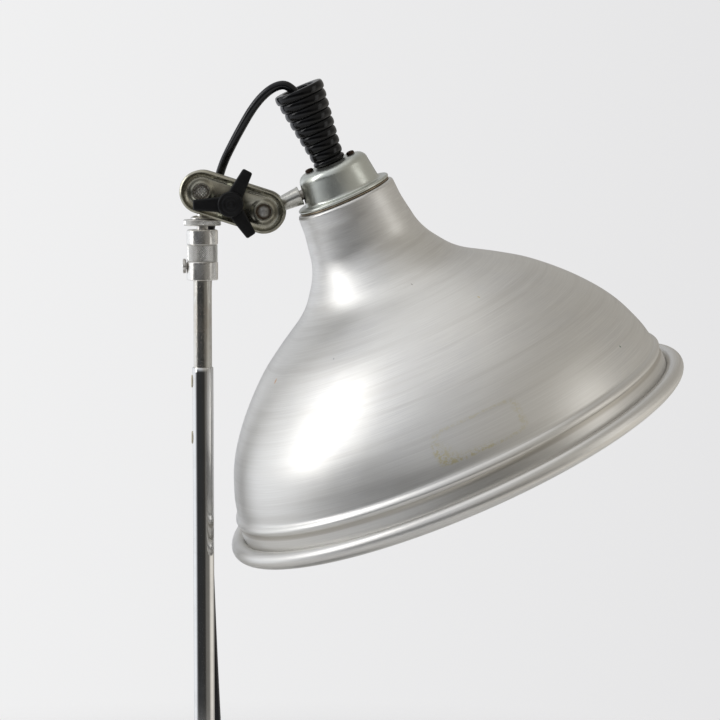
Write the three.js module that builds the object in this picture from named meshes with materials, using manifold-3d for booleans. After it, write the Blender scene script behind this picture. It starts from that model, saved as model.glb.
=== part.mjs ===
// Reflector desk lamp: a spun aluminium bell on a telescopic chrome column.
// A clamp with two balls carries the head, and a round weighted base carries the column.
// Millimetres, +Z up. The origin is on the column's axis, in the plane that the lamp stands on.
// The clamp's plates lie in the XZ plane, and the head hangs on the +X side.

import * as THREE from 'three';
import { mergeVertices } from 'three/addons/utils/BufferGeometryUtils.js';
import Module from 'manifold-3d';

const wasm = await Module();
wasm.setup();

// ---------------------------------------------------------------- driving dimensions

const GAP = 0.3; // left between pieces that touch
const OVERSHOOT = 1; // how far a cutting solid passes the face that it cuts

// column and base
const BALL_HEIGHT = 559.4; // centre of the stand ball above the desk
const OUTER_TUBE = { radius: 7, wall: 0.7, bottom: 32, top: 441.5 };
const INNER_TUBE = { radius: 6.15, wall: 0.8, bottom: 250, top: 521 };
const PLUG_HEIGHTS = [432, 394]; // centres of the friction plugs
const PLUG_SIZE = { width: 3.4, height: 8.5, proud: 0.9 };
const BASE = { radius: 120, shoulder: 13, crown: 27, wall: 1.2 };
const PAD = { radius: 116, thickness: 2.5 };
const WEIGHT = { radius: 117.5, top: 20, bore: 5.4, recess: 14, recessTop: 14 };
const STUD_RADIUS = 5;
const SOCKET = { flange: 19, barrel: 11, bottom: 27.8, flangeTop: 31, top: 60 };

// stand adaptor, heights from the ball's centre
const COUPLING = { radius: 10.2, bottom: -59.2, top: -25.4, bore: 6.5, boreTop: -36.4 };
const KNURL = { radius: 10.55, bottom: -46.7, top: -35.6 };
const LOCK_RING = { radius: 12.5, bottom: -22.7, top: -18.6, chamfer: 1.4 };
const COLLAR = { radius: 8, bottom: -18.3, middle: -17.6, top: -16 };
const NECK_RADIUS = 3.75;
const THUMB_SCREW = { height: -49.8, head: 4.9, thickness: 2.1, shank: 2.2, clearance: 0.8 };

// clamp with two balls
const BALL_RADIUS = 8;
const LINK = { length: 43.5, slope: THREE.MathUtils.degToRad(17.65), end: 14.9 };
const PLATE = { face: 6.4, floor: 1.6, flange: 12, wall: 1.7, hole: 5.2, boss: 7.4, bossTop: 9.6 };
const CLAMP_BOLT = { radius: 3, hole: 3.4, head: 6.5, x: LINK.length / 2 - 0.4, z: -1.7 };
const KNOB = { reach: 25.1, hub: 8.6, root: 5.4, tip: 3, back: 13, arm: 18.4, front: 21 };
const KNOB_ARMS = [62.7, 181, 303.5].map(THREE.MathUtils.degToRad);

// head: X along the stem from the lamp ball, Z up the shade's axis
const STEM = { reach: 53.5, lift: THREE.MathUtils.degToRad(23.4), near: 4.6, far: 5.5 };
const HEAD_ROLL = THREE.MathUtils.degToRad(5.8);
const CAP = { top: 11.9, upper: 24.4, lower: 26.1, bottom: -10.1, flange: 32.4, wall: 1.2, corner: 6 };
const NECK_RING = { inner: 22, outer: 31.9, top: -11.4, bottom: -12.2 };
const SHADE = { wall: 1.2, neckTop: -12.5, hole: 21.8, neck: 34.3, rim: 164.9, rimHeight: -203.4 };
const LIP_RADIUS = 4.2;
const HANDLE = { bottom: 12.3, top: 66.6, base: 9.9, first: 11.2, last: 17.1, ribs: 8, bore: 4.2, mouth: 11.2 };
const SCREW = { offset: 14.9, head: 2.8, shank: 1.8, length: 7 };
const HOLDER = { radius: 20, shoulder: 21.4, top: -7.5, shoulderTop: -10.5, bottom: -47, bore: 14.6 };
const NIPPLE = { radius: 5, bore: 3.35, bottom: -14, top: 24 };
const BULB = { radius: 30, neck: 13, base: 13.2, baseTop: -26.5, baseBottom: -50, bottom: -128 };

// mains lead
const CORD_RADIUS = 3;
const CORD_SIDES = 8;
const CORD_STEP = 15;
const COIL = { x: -36, y: 172, middle: 33, width: 9.4, bottom: 1.6, top: 14.2 };
const PLUG = { x: -8, y: 154, height: 21.4, length: 34, sleeve: 20 };

const FINE = 32; // facets round the shade
const ROUND = 20; // facets round a medium piece
const SMALL = 12; // facets round a small piece

// ---------------------------------------------------------------- finishes

function finish(color, roughness, metalness) {
	return new THREE.MeshStandardMaterial({ color, roughness, metalness });
}

const SPUN_ALUMINIUM = [0xb9b6b0, 0.38, 1];
const ZINC_PLATE = [0xa9aca0, 0.42, 1];
const CHROME = [0xc9cbce, 0.12, 1];
const WORN_CHROME = [0xa8a29a, 0.35, 1];
const NICKEL = [0xc4c1bb, 0.3, 1];
const CLAMP_STEEL = [0x86857a, 0.45, 1];
const BLACK_PLASTIC = [0x161616, 0.45, 0];
const BLACK_RUBBER = [0x111112, 0.35, 0];
const LEAD_PVC = [0x18181a, 0.5, 0];
const CREAM_NYLON = [0xdcd6c4, 0.5, 0];
const PORCELAIN = [0xe9e6df, 0.25, 0];
const BRASS = [0xb08d4c, 0.35, 1];
const RUSTY_STEEL = [0x4a3026, 0.7, 1];
const OPAL_GLASS = [0xf1efe9, 0.2, 0];
const BASE_PAINT = [0x8d8c88, 0.5, 0.6];
const CAST_IRON = [0x3a3a3a, 0.7, 1];
const FELT = [0x1d2a22, 0.95, 0];

// ---------------------------------------------------------------- building helpers

// A copy of the geometry with only positions, its shared vertices merged and its faces outwards.
function closed(geometry) {
	const bare = geometry.clone();
	bare.deleteAttribute('normal');
	bare.deleteAttribute('uv');
	const merged = mergeVertices(bare, 1e-4);
	const p = merged.attributes.position;
	const index = merged.index.array;
	const [a, b, c] = [new THREE.Vector3(), new THREE.Vector3(), new THREE.Vector3()];
	let volume = 0;
	const kept = [];
	for (let i = 0; i < index.length; i += 3) {
		const [i0, i1, i2] = [index[i], index[i + 1], index[i + 2]];
		if (i0 === i1 || i1 === i2 || i2 === i0) continue;
		kept.push(i0, i1, i2);
		a.fromBufferAttribute(p, i0);
		b.fromBufferAttribute(p, i1);
		c.fromBufferAttribute(p, i2);
		volume += a.dot(b.cross(c));
	}
	if (volume < 0) {
		for (let i = 0; i < kept.length; i += 3) [kept[i], kept[i + 1]] = [kept[i + 1], kept[i]];
	}
	merged.setIndex(kept);
	return merged;
}

function solid(geometry) {
	const g = closed(geometry);
	const vertProperties = new Float32Array(g.attributes.position.array);
	const triVerts = new Uint32Array(g.index.array);
	return new wasm.Manifold(new wasm.Mesh({ numProp: 3, vertProperties, triVerts }));
}

function geometryOf(manifold) {
	const mesh = manifold.getMesh();
	const g = new THREE.BufferGeometry();
	g.setAttribute('position', new THREE.BufferAttribute(mesh.vertProperties.slice(), 3));
	g.setIndex(Array.from(mesh.triVerts));
	return g;
}

function cut(body, ...cutters) {
	return geometryOf(cutters.reduce((left, c) => left.subtract(solid(c)), solid(body)));
}

function join(...pieces) {
	return geometryOf(pieces.map(solid).reduce((all, piece) => all.add(piece)));
}

// A profile of [radius, height] pairs turned about Z; it closes on itself or ends on the axis.
function turned(profile, facets = ROUND) {
	const points = profile.map(([r, h]) => new THREE.Vector2(r, h));
	const onAxis = points[0].x === 0 && points[points.length - 1].x === 0;
	if (!onAxis) points.push(points[0].clone());
	return closed(new THREE.LatheGeometry(points, facets).rotateX(Math.PI / 2));
}

function rod(radius, bottom, top, facets = SMALL) {
	return turned([[0, bottom], [radius, bottom], [radius, top], [0, top]], facets);
}

function pipe(inner, outer, bottom, top, facets = ROUND) {
	return turned([[inner, bottom], [outer, bottom], [outer, top], [inner, top]], facets);
}

// The arc's points, from angle `from` to angle `to` in degrees.
function arc(r, h, radius, from, to, steps) {
	return Array.from({ length: steps + 1 }, (_, i) => {
		const angle = THREE.MathUtils.degToRad(from + ((to - from) * i) / steps);
		return [r + radius * Math.cos(angle), h + radius * Math.sin(angle)];
	});
}

// Points on a smooth curve through the given [radius, height] pairs.
function smooth(pairs, steps) {
	const curve = new THREE.SplineCurve(pairs.map(([r, h]) => new THREE.Vector2(r, h)));
	return curve.getSpacedPoints(steps).map((p) => [p.x, p.y]);
}

// A sheet's outline: the outer line, and the same line set in by the wall, walked back.
function shell(line, wall) {
	const inner = line.map(([r, h], i) => {
		const [r0, h0] = line[Math.max(i - 1, 0)];
		const [r1, h1] = line[Math.min(i + 1, line.length - 1)];
		const length = Math.hypot(r1 - r0, h1 - h0);
		return [r - (wall * (h1 - h0)) / length, h + (wall * (r1 - r0)) / length];
	});
	return [...line, ...inner.reverse()];
}

// The outline is drawn in XZ, and the plate fills Y from `near` to `far`.
function plate(shape, near, far) {
	const g = new THREE.ExtrudeGeometry(shape, { depth: far - near, bevelEnabled: false, curveSegments: 8 });
	return closed(g.rotateX(Math.PI / 2).translate(0, far, 0));
}

function disc(x, z, radius, near, far, facets = SMALL) {
	return turned([[0, near], [radius, near], [radius, far], [0, far]], facets)
		.rotateX(-Math.PI / 2)
		.translate(x, 0, z);
}

function nut(acrossFlats, bore, bottom, top) {
	const hexagon = rod(acrossFlats / Math.sqrt(3), bottom, top, 6);
	return cut(hexagon, rod(bore, bottom - OVERSHOOT, top + OVERSHOOT, ROUND));
}

// A straight-sided link outline with round ends, centred on two points along X.
function slot(length, radius) {
	const s = new THREE.Shape();
	s.absarc(length, 0, radius, -Math.PI / 2, Math.PI / 2, false);
	s.absarc(0, 0, radius, Math.PI / 2, (3 * Math.PI) / 2, false);
	s.closePath();
	return s;
}

const lamp = new THREE.Group();

function add(parent, name, geometry, look) {
	const mesh = new THREE.Mesh(geometry, finish(...look));
	mesh.name = name;
	parent.add(mesh);
	return mesh;
}

// ---------------------------------------------------------------- base and column

function basePad() {
	return rod(PAD.radius, 0, PAD.thickness, FINE);
}

function baseWeight() {
	const bottom = PAD.thickness + GAP;
	const { radius, top, bore, recess, recessTop } = WEIGHT;
	const profile = [[recess, bottom], [radius, bottom], [radius, 11.5], ...arc(radius - 6, 11.5, 6, 20, 80, 2)];
	return turned([...profile, [30, top], [bore, top], [bore, recessTop], [recess, recessTop]], FINE);
}

function baseCover() {
	const { radius, shoulder, crown, wall } = BASE;
	const edge = [[radius, 1.2], [radius, shoulder], ...arc(radius - 7, shoulder, 7, 20, 70, 2)];
	const top = [[80, 23], [40, 25.8], [13, crown]];
	return turned(shell([...edge, ...top], wall), FINE);
}

function columnSocket() {
	const { flange, barrel, bottom, flangeTop, top } = SOCKET;
	const bore = OUTER_TUBE.radius + 0.12;
	const foot = [[bore, bottom], [flange, bottom], [flange, flangeTop - 1], [flange - 1, flangeTop]];
	const fillet = smooth([[barrel + 4, flangeTop], [barrel + 1, flangeTop + 2], [barrel, flangeTop + 6]], 4);
	return turned([...foot, ...fillet, [barrel, top - 1.5], [barrel - 1.5, top], [bore, top]]);
}

// The outer tube, with a window for each friction plug on its -X side.
function outerTube() {
	const { radius, wall, bottom, top } = OUTER_TUBE;
	const windows = PLUG_HEIGHTS.map((height) =>
		new THREE.BoxGeometry(6, PLUG_SIZE.width + 2 * GAP, PLUG_SIZE.height + 2 * GAP).translate(-radius, 0, height));
	return cut(pipe(radius - wall, radius, bottom, top), ...windows);
}

// An oval nylon pad in the tube's window, a little proud of the tube.
function frictionPlug(height) {
	const { width, height: tall, proud } = PLUG_SIZE;
	const oval = new THREE.Shape();
	oval.absellipse(0, 0, tall / 2, width / 2, 0, 2 * Math.PI, false, 0);
	const deep = proud + OUTER_TUBE.wall - 0.05;
	const inner = -(OUTER_TUBE.radius - OUTER_TUBE.wall) - 0.02;
	const g = new THREE.ExtrudeGeometry(oval, { depth: deep, bevelEnabled: false, curveSegments: 8 });
	return closed(g.rotateY(-Math.PI / 2).translate(inner, 0, height));
}

function columnStud() {
	const bottom = PAD.thickness + 1.5;
	return rod(STUD_RADIUS, bottom, 58);
}

add(lamp, 'base_pad', basePad(), FELT);
add(lamp, 'base_weight', baseWeight(), CAST_IRON);
add(lamp, 'base_cover', baseCover(), BASE_PAINT);
add(lamp, 'column_stud', columnStud(), RUSTY_STEEL);
add(lamp, 'column_nut', nut(17, STUD_RADIUS + 0.15, 5, WEIGHT.recessTop - 1.6), ZINC_PLATE);
add(lamp, 'column_washer', pipe(STUD_RADIUS + GAP, 11, WEIGHT.recessTop - 1.4, WEIGHT.recessTop - 0.2), ZINC_PLATE);
add(lamp, 'column_socket', columnSocket(), CHROME);
add(lamp, 'outer_tube', outerTube(), CHROME);
add(lamp, 'friction_plug_upper', frictionPlug(PLUG_HEIGHTS[0]), CREAM_NYLON);
add(lamp, 'friction_plug_lower', frictionPlug(PLUG_HEIGHTS[1]), CREAM_NYLON);

function innerTube() {
	const { radius, wall, bottom, top } = INNER_TUBE;
	return pipe(radius - wall, radius, bottom, top);
}

add(lamp, 'inner_tube', innerTube(), WORN_CHROME);

// ---------------------------------------------------------------- stand adaptor

const adaptor = new THREE.Group();
adaptor.position.z = BALL_HEIGHT;
lamp.add(adaptor);

// Bored from below for the tube and from above for the ball's neck; the screw's hole is on -X.
function coupling() {
	const { radius, bottom, top, bore, boreTop } = COUPLING;
	const { radius: band, bottom: bandBottom, top: bandTop } = KNURL;
	const upper = NECK_RADIUS + 0.2;
	const outside = [
		[bore, bottom], [radius - 0.6, bottom], [radius, bottom + 0.6],
		[radius, bandBottom], [band, bandBottom + 0.4], [band, bandTop - 0.4], [radius, bandTop],
		[radius, top - 0.6], [radius - 0.6, top],
	];
	const body = turned([...outside, [upper, top], [upper, boreTop], [bore, boreTop]]);
	const hole = rod(THUMB_SCREW.shank + 0.2, 0, radius + OVERSHOOT, SMALL)
		.rotateY(-Math.PI / 2)
		.translate(0, 0, THUMB_SCREW.height);
	return cut(body, hole);
}

// A grooved head and a shank that presses on the tube.
function thumbScrew() {
	const { height, head, thickness, shank, clearance } = THUMB_SCREW;
	const start = INNER_TUBE.radius + GAP;
	const back = COUPLING.radius + clearance;
	const teeth = 12;
	const edge = new THREE.Shape();
	for (let i = 0; i < 2 * teeth; i++) {
		const radius = i % 2 ? head : head - 0.45;
		const angle = (i * Math.PI) / teeth;
		edge[i ? 'lineTo' : 'moveTo'](radius * Math.cos(angle), radius * Math.sin(angle));
	}
	const disk = new THREE.ExtrudeGeometry(edge, { depth: thickness, bevelEnabled: false }).translate(0, 0, back);
	return join(disk, rod(shank, start, back + 0.5)).rotateY(-Math.PI / 2).translate(0, 0, height);
}

function toothedRing(radius, depth, teeth, bottom, top) {
	const edge = new THREE.Shape();
	for (let i = 0; i < 2 * teeth; i++) {
		const r = i % 2 ? radius : radius - depth;
		const angle = (i * Math.PI) / teeth;
		edge[i ? 'lineTo' : 'moveTo'](r * Math.cos(angle), r * Math.sin(angle));
	}
	return new THREE.ExtrudeGeometry(edge, { depth: top - bottom, bevelEnabled: false }).translate(0, 0, bottom);
}

function lockRing() {
	const { radius, bottom, top, chamfer } = LOCK_RING;
	const bore = NECK_RADIUS + 0.15;
	const blank = turned([
		[bore, bottom], [radius - 0.4, bottom], [radius + 0.4, bottom + 0.8],
		[radius + 0.4, top - chamfer], [radius - chamfer, top], [bore, top],
	], 20);
	return geometryOf(solid(blank).intersect(solid(toothedRing(radius, 0.35, 20, bottom, top))));
}

// The ball, its neck down into the coupling, and the collar under the plates.
function standBall() {
	const { radius, bottom, middle, top } = COLLAR;
	const start = Math.asin(NECK_RADIUS / BALL_RADIUS);
	const sphere = arc(0, 0, BALL_RADIUS, THREE.MathUtils.radToDeg(start) - 90, 90, 6);
	sphere[sphere.length - 1][0] = 0;
	const foot = COUPLING.boreTop + 1.5;
	const neck = [[0, foot], [NECK_RADIUS, foot], [NECK_RADIUS, bottom], [radius, bottom], [radius, middle]];
	return turned([...neck, [radius - 1.8, top], [NECK_RADIUS, top], ...sphere], 16);
}

add(adaptor, 'coupling', coupling(), NICKEL);
add(adaptor, 'thumb_screw', thumbScrew(), NICKEL);
add(adaptor, 'lock_ring', lockRing(), NICKEL);
add(adaptor, 'stand_ball', standBall(), NICKEL);

// ---------------------------------------------------------------- clamp

const clamp = new THREE.Group();
clamp.position.z = BALL_HEIGHT;
clamp.rotation.y = LINK.slope;
lamp.add(clamp);

// The plate in front; `side` is -1 for it and 1 for its mirror at the back.
function clampPlate(side) {
	const { face, floor, flange, wall, hole, boss, bossTop } = PLATE;
	const { length, end } = LINK;
	const between = (shape, a, b) => plate(shape, Math.min(side * a, side * b), Math.max(side * a, side * b));
	const ends = [0, length];
	const disk = (x, radius, a, b) => disc(x, 0, radius, Math.min(side * a, side * b), Math.max(side * a, side * b), 16);
	const blank = solid(between(slot(length, end), face, flange));
	const hollow = solid(between(slot(length, end - wall), face + floor, flange + OVERSHOOT));
	let body = blank.subtract(hollow);
	for (const x of ends) body = body.add(solid(disk(x, boss, face + floor / 2, bossTop)));
	for (const x of ends) body = body.subtract(solid(disk(x, hole, face - OVERSHOOT, flange + OVERSHOOT)));
	const boltHole = disk(CLAMP_BOLT.x, CLAMP_BOLT.hole, face - OVERSHOOT, flange + OVERSHOOT);
	body = body.subtract(solid(boltHole.translate(0, 0, CLAMP_BOLT.z)));
	return geometryOf(body);
}

// Round head behind, shank through both plates and into the knob.
function clampBolt() {
	const { radius, head, x, z } = CLAMP_BOLT;
	const back = PLATE.face + PLATE.floor + GAP;
	return join(disc(x, z, radius, -KNOB.arm, back + 0.5), disc(x, z, head, back, back + 3.4));
}

function clampWasher() {
	const outside = PLATE.face + PLATE.floor + GAP;
	const ring = pipe(CLAMP_BOLT.radius + GAP, 7.6, outside, KNOB.back - GAP, SMALL);
	return ring.rotateX(Math.PI / 2).translate(CLAMP_BOLT.x, 0, CLAMP_BOLT.z);
}

// A hub with three tapered arms, turned about Y.
function wingKnob() {
	const { reach, hub, root, tip, back, arm, front } = KNOB;
	const arms = KNOB_ARMS.map((angle) => {
		const s = new THREE.Shape();
		s.moveTo(0, -root);
		s.lineTo(hub, -root);
		s.lineTo(reach, -tip);
		s.lineTo(reach, tip);
		s.lineTo(hub, root);
		s.lineTo(0, root);
		s.closePath();
		return plate(s, -arm, -back).rotateY(-angle - LINK.slope);
	});
	const body = join(disc(0, 0, hub, -front, -back, 24), ...arms);
	const bore = disc(0, 0, CLAMP_BOLT.radius + 0.12, -KNOB.arm - GAP, -back + OVERSHOOT);
	return cut(body, bore).translate(CLAMP_BOLT.x, 0, CLAMP_BOLT.z);
}

add(clamp, 'clamp_plate_front', clampPlate(-1), CLAMP_STEEL);
add(clamp, 'clamp_plate_back', clampPlate(1), CLAMP_STEEL);
add(clamp, 'clamp_bolt', clampBolt(), ZINC_PLATE);
add(clamp, 'clamp_washer', clampWasher(), ZINC_PLATE);
add(clamp, 'wing_knob', wingKnob(), BLACK_PLASTIC);

// ---------------------------------------------------------------- head

const LAMP_BALL = [LINK.length * Math.cos(LINK.slope), 0, BALL_HEIGHT - LINK.length * Math.sin(LINK.slope)];

const arm = new THREE.Group();
arm.position.set(...LAMP_BALL);
arm.rotation.set(HEAD_ROLL, -STEM.lift, 0, 'YXZ');
lamp.add(arm);

const head = new THREE.Group();
head.position.x = STEM.reach;
arm.add(head);

// The ball and its tapered stem; the stem's shouldered end passes through the cap's wall.
function lampBall() {
	const { reach, near, far } = STEM;
	const shoulder = reach - CAP.lower - 0.7;
	const start = THREE.MathUtils.radToDeg(Math.asin(near / BALL_RADIUS));
	const sphere = arc(0, 0, BALL_RADIUS, -90, 90 - start, 6);
	sphere[0][0] = 0;
	const stem = [[near, 10], [far, shoulder], [3.4, shoulder], [3.4, shoulder + 12], [0, shoulder + 12]];
	return turned([...sphere, ...stem], 16).rotateY(Math.PI / 2);
}

// Inside the cap, on the stem's end.
function stemNut() {
	const inside = STEM.reach - CAP.upper + CAP.wall + 0.5;
	return nut(11, 3.55, inside, inside + 4.5).rotateY(Math.PI / 2);
}

function cap() {
	const { top, upper, lower, bottom, flange, wall, corner } = CAP;
	const line = [
		[flange, bottom + 0.2], [flange - 1.6, bottom + 0.9], [lower + 0.8, bottom + 1.5], [lower, bottom + 3],
		[upper, top - corner], ...arc(upper - corner, top - corner, corner, 18, 90, 3), [5.6, top],
	];
	const body = turned(shell(line, wall), 24);
	const stemHole = rod(4, STEM.reach - flange, STEM.reach - 10).rotateY(Math.PI / 2).translate(-STEM.reach, 0, 0);
	const screwHoles = [-1, 1].map((side) =>
		rod(SCREW.shank + GAP, top - 5, top + OVERSHOOT).translate(side * SCREW.offset, 0, 0));
	return cut(body, stemHole, ...screwHoles);
}

function capScrew(side) {
	const { head: radius, shank, length } = SCREW;
	const under = CAP.top + GAP;
	const body = [[0, under - length], [shank, under - length], [shank, under], [radius, under], [radius, under + 1.4]];
	const dome = [[radius - 0.8, under + 2.1], [0, under + 2.2]];
	return turned([...body, ...dome], 16).translate(side * SCREW.offset, 0, 0);
}

// A bar under the cap's top that the two screws hold; the lampholder hangs from it.
function holderBridge() {
	const s = new THREE.Shape();
	s.absarc(0, 0, 20, -0.3, 0.3, false);
	s.absarc(0, 0, 20, Math.PI - 0.3, Math.PI + 0.3, false);
	s.closePath();
	const top = CAP.top - CAP.wall - 1.2;
	const bar = new THREE.ExtrudeGeometry(s, { depth: 1.6, bevelEnabled: false, curveSegments: 6 });
	const holes = [-1, 1].map((side) => rod(SCREW.shank + GAP, -1, 3).translate(side * SCREW.offset, 0, 0));
	return cut(bar, rod(NIPPLE.radius + GAP, -1, 3), ...holes).translate(0, 0, top - 1.6);
}

// The hollow threaded tube that joins lampholder, bridge, cap and handle; the lead runs in it.
function nipple() {
	const { radius, bore, bottom, top } = NIPPLE;
	return pipe(bore, radius, bottom, top);
}

function neckRing() {
	const { inner, outer, top, bottom } = NECK_RING;
	return turned([[inner, bottom], [outer, bottom], [outer + 0.5, bottom + 1], [outer, top], [inner, top]], 24);
}

// The bell's outer line from the neck's top to the rolled rim.
function shadeLine() {
	const { neckTop, hole, neck, rim, rimHeight } = SHADE;
	const shoulder = arc(neck - 2.2, neckTop - 2.2, 2.2, 90, 10, 2);
	const bell = smooth([
		[35, -26.2], [36.8, -37.2], [38.6, -46.2], [42.4, -55.2], [48, -63.7], [54, -71.2], [61.6, -77.7],
		[72, -84.2], [82.4, -90.7], [98.9, -102.2], [116.6, -118.4], [131.3, -135.2], [141.9, -151.2],
		[149.7, -169.6], [153.2, -183.2],
	], 13);
	const step = [[154.4, -186.4], [156.2, -188.4], [157.6, -191.4]];
	const lip = arc(rim - LIP_RADIUS, rimHeight - 0.5, LIP_RADIUS, 200, 360, 4);
	return [[hole, neckTop], ...shoulder, ...bell, ...step, ...lip, [rim, rimHeight + 4.6]];
}

function shade() {
	return turned(shell(shadeLine().reverse(), SHADE.wall), FINE);
}

// Threaded onto the lampholder, it clamps the shade's top from inside.
function shadeRing() {
	const top = SHADE.neckTop - SHADE.wall - GAP;
	return turned([[20.6, top - 5], [24, top - 5], [27, top - 1.6], [27, top], [20.6, top]]);
}

function lampholder() {
	const { radius, shoulder, top, shoulderTop, bottom, bore } = HOLDER;
	const under = SHADE.neckTop + GAP;
	const entry = NIPPLE.radius + GAP;
	const outside = [[bore, bottom], [radius, bottom], [radius, under], [shoulder, under]];
	const crown = [[shoulder, shoulderTop], [15, top], [entry, top], [entry, top - 10], [bore, top - 10]];
	return turned([...outside, ...crown]);
}

function socketShell() {
	const { bore, bottom, top } = HOLDER;
	return pipe(bore - 0.9, bore - GAP, bottom + 3, top - 14);
}

function centreContact() {
	return turned([[0, HOLDER.top - 18], [3, HOLDER.top - 17], [3, HOLDER.top - 12], [0, HOLDER.top - 12]], 12);
}

function bulbBase() {
	const { base, baseTop, baseBottom } = BULB;
	const line = [[0, baseTop], [4, baseTop], [9.5, baseTop - 3], [base - 0.4, baseTop - 4], [base, baseBottom + 1]];
	return turned([...line, [base - 0.5, baseBottom], [0, baseBottom]], 24);
}

function bulbGlass() {
	const { radius, neck, baseBottom, bottom } = BULB;
	const start = baseBottom - GAP;
	const centre = bottom + radius;
	const taper = smooth([[neck, start], [neck + 1.2, start - 8], [20, start - 20], [26, start - 31]], 4);
	const globe = arc(0, centre, radius, 28, -90, 7);
	globe[globe.length - 1][0] = 0;
	return turned([[0, start], ...taper, ...globe]);
}

// Round ribs that grow towards the top, and a bell mouth for the lead.
function handle() {
	const { bottom, top, base, first, last, ribs, bore, mouth } = HANDLE;
	const foot = bottom + 4.2;
	const pitch = (top - foot) / ribs;
	const outside = [[base, bottom], [base, foot]];
	for (let i = 0; i < ribs; i++) {
		const radius = first + ((last - first) * i) / (ribs - 1);
		const middle = foot + pitch * (i + 0.5);
		outside.push([radius - 1.8, middle - pitch * 0.5]);
		outside.push([radius, middle - pitch * 0.22], [radius, middle + pitch * 0.22]);
	}
	const lip = [[last - 1.9, top], [mouth, top]];
	const funnel = [[mouth - 1.4, top - 5], [8.2, top - 12], [6.4, top - 20], [bore, top - 30]];
	const seat = NIPPLE.radius + GAP;
	const inside = [...funnel, [bore, NIPPLE.top + 2], [seat, NIPPLE.top + 1], [seat, bottom]];
	return turned([...outside, ...lip, ...inside], 16);
}

// The lead inside the head, from the bell mouth down to the lampholder.
function innerLead() {
	return rod(CORD_RADIUS, NIPPLE.bottom + 1, HANDLE.top - 28.2, 12);
}

add(arm, 'lamp_ball', lampBall(), CLAMP_STEEL);
add(arm, 'stem_nut', stemNut(), ZINC_PLATE);
add(head, 'cap', cap(), ZINC_PLATE);
add(head, 'cap_screw_left', capScrew(-1), RUSTY_STEEL);
add(head, 'cap_screw_right', capScrew(1), RUSTY_STEEL);
add(head, 'holder_bridge', holderBridge(), ZINC_PLATE);
add(head, 'nipple', nipple(), BRASS);
add(head, 'neck_ring', neckRing(), WORN_CHROME);
add(head, 'shade', shade(), SPUN_ALUMINIUM);
add(head, 'shade_ring', shadeRing(), BRASS);
add(head, 'lampholder', lampholder(), PORCELAIN);
add(head, 'socket_shell', socketShell(), BRASS);
add(head, 'centre_contact', centreContact(), BRASS);
add(head, 'bulb_base', bulbBase(), NICKEL);
add(head, 'bulb_glass', bulbGlass(), OPAL_GLASS);
add(head, 'handle', handle(), BLACK_RUBBER);
add(head, 'inner_lead', innerLead(), LEAD_PVC);

// ---------------------------------------------------------------- mains lead

// The lead's centre line, out of the handle's mouth, behind the clamp and the column, and over
// the base to the coil behind it. Each stretch moves with its own pair of bodies.
const LOOP = [[74.7, -4, 604], [71.4, -4.9, 611.6], [67.2, -5.7, 619.4], [61.9, -6.2, 626.2], [55.6, -6.3, 630.2]];
const OVER = [[48.4, -5.8, 628.6], [40.8, -4.2, 622.8], [33.6, -1.6, 614], [26.6, 2.4, 602.6], [19.8, 7.6, 590.4]];
const BEHIND = [[14.2, 13, 579.2], [10.6, 16.8, 568.6], [8.6, 17.8, 557], [6.4, 18, 546]];
const BESIDE = [[4.6, 17.6, 534], [3.4, 16.8, 519], [2.6, 16.0, 501], [2.0, 15.4, 482]];
const DOWN = [
	[1.6, 15, 458], [1.4, 15, 415], [1.6, 15, 370], [2.4, 15.4, 325], [3.8, 16.4, 280], [5.4, 18, 236],
	[7.2, 20.6, 192], [8.8, 24.6, 150], [9.8, 31, 110], [10.2, 42, 74], [10.2, 58, 47], [10, 78, 33.6],
	[9.6, 98, 28.4], [9, 115, 25], [8.6, 127, 17.4], [8.2, 137, 9.4], [7.7, 146.4, 4.8],
];
const COIL_JOIN = [7.1, 156.6, 4.6];
const TAIL = [
	[-66.5, 190, 17.6], [-69, 178, 17.7], [-67.2, 168.8, 18.2], [-62, 161, 19.2], [-54.2, 155.8, 20.6],
	[-45.9, 154, 21.4],
];

const route = new THREE.CatmullRomCurve3(
	[...LOOP, ...OVER, ...BEHIND, ...BESIDE, ...DOWN, COIL_JOIN].map((p) => new THREE.Vector3(...p)),
	false, 'centripetal');

// The stretch of the curve from one of its points to another, a little short at both ends.
function lead(curve, from, to) {
	const last = curve.points.length - 1;
	const steps = 12 * (to - from);
	const line = Array.from({ length: steps + 1 }, (_, i) => curve.getPoint((from + ((to - from) * i) / steps) / last));
	const inward = (end, next) => end.add(next.clone().sub(end).setLength(GAP / 2 + 0.05));
	inward(line[0], line[1]);
	inward(line[steps], line[steps - 1]);
	const path = new THREE.CatmullRomCurve3(line, false, 'centripetal');
	const section = new THREE.Shape();
	for (let i = 0; i < CORD_SIDES; i++) {
		const angle = (2 * Math.PI * i) / CORD_SIDES;
		section[i ? 'lineTo' : 'moveTo'](CORD_RADIUS * Math.cos(angle), CORD_RADIUS * Math.sin(angle));
	}
	const count = Math.max(3, Math.round(path.getLength() / CORD_STEP));
	return closed(new THREE.ExtrudeGeometry(section, { steps: count, extrudePath: path }));
}

function coil() {
	const { x, y, middle, width, bottom, top } = COIL;
	const round = 3;
	const ring = [
		[middle - width, bottom + round], [middle - width + round, bottom], [middle + width - round, bottom],
		[middle + width, bottom + round], [middle + width, top - round], [middle + width - round, top],
		[middle - width + round, top], [middle - width, top - round],
	];
	return turned(ring, 28).translate(x, y, 0);
}

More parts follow.
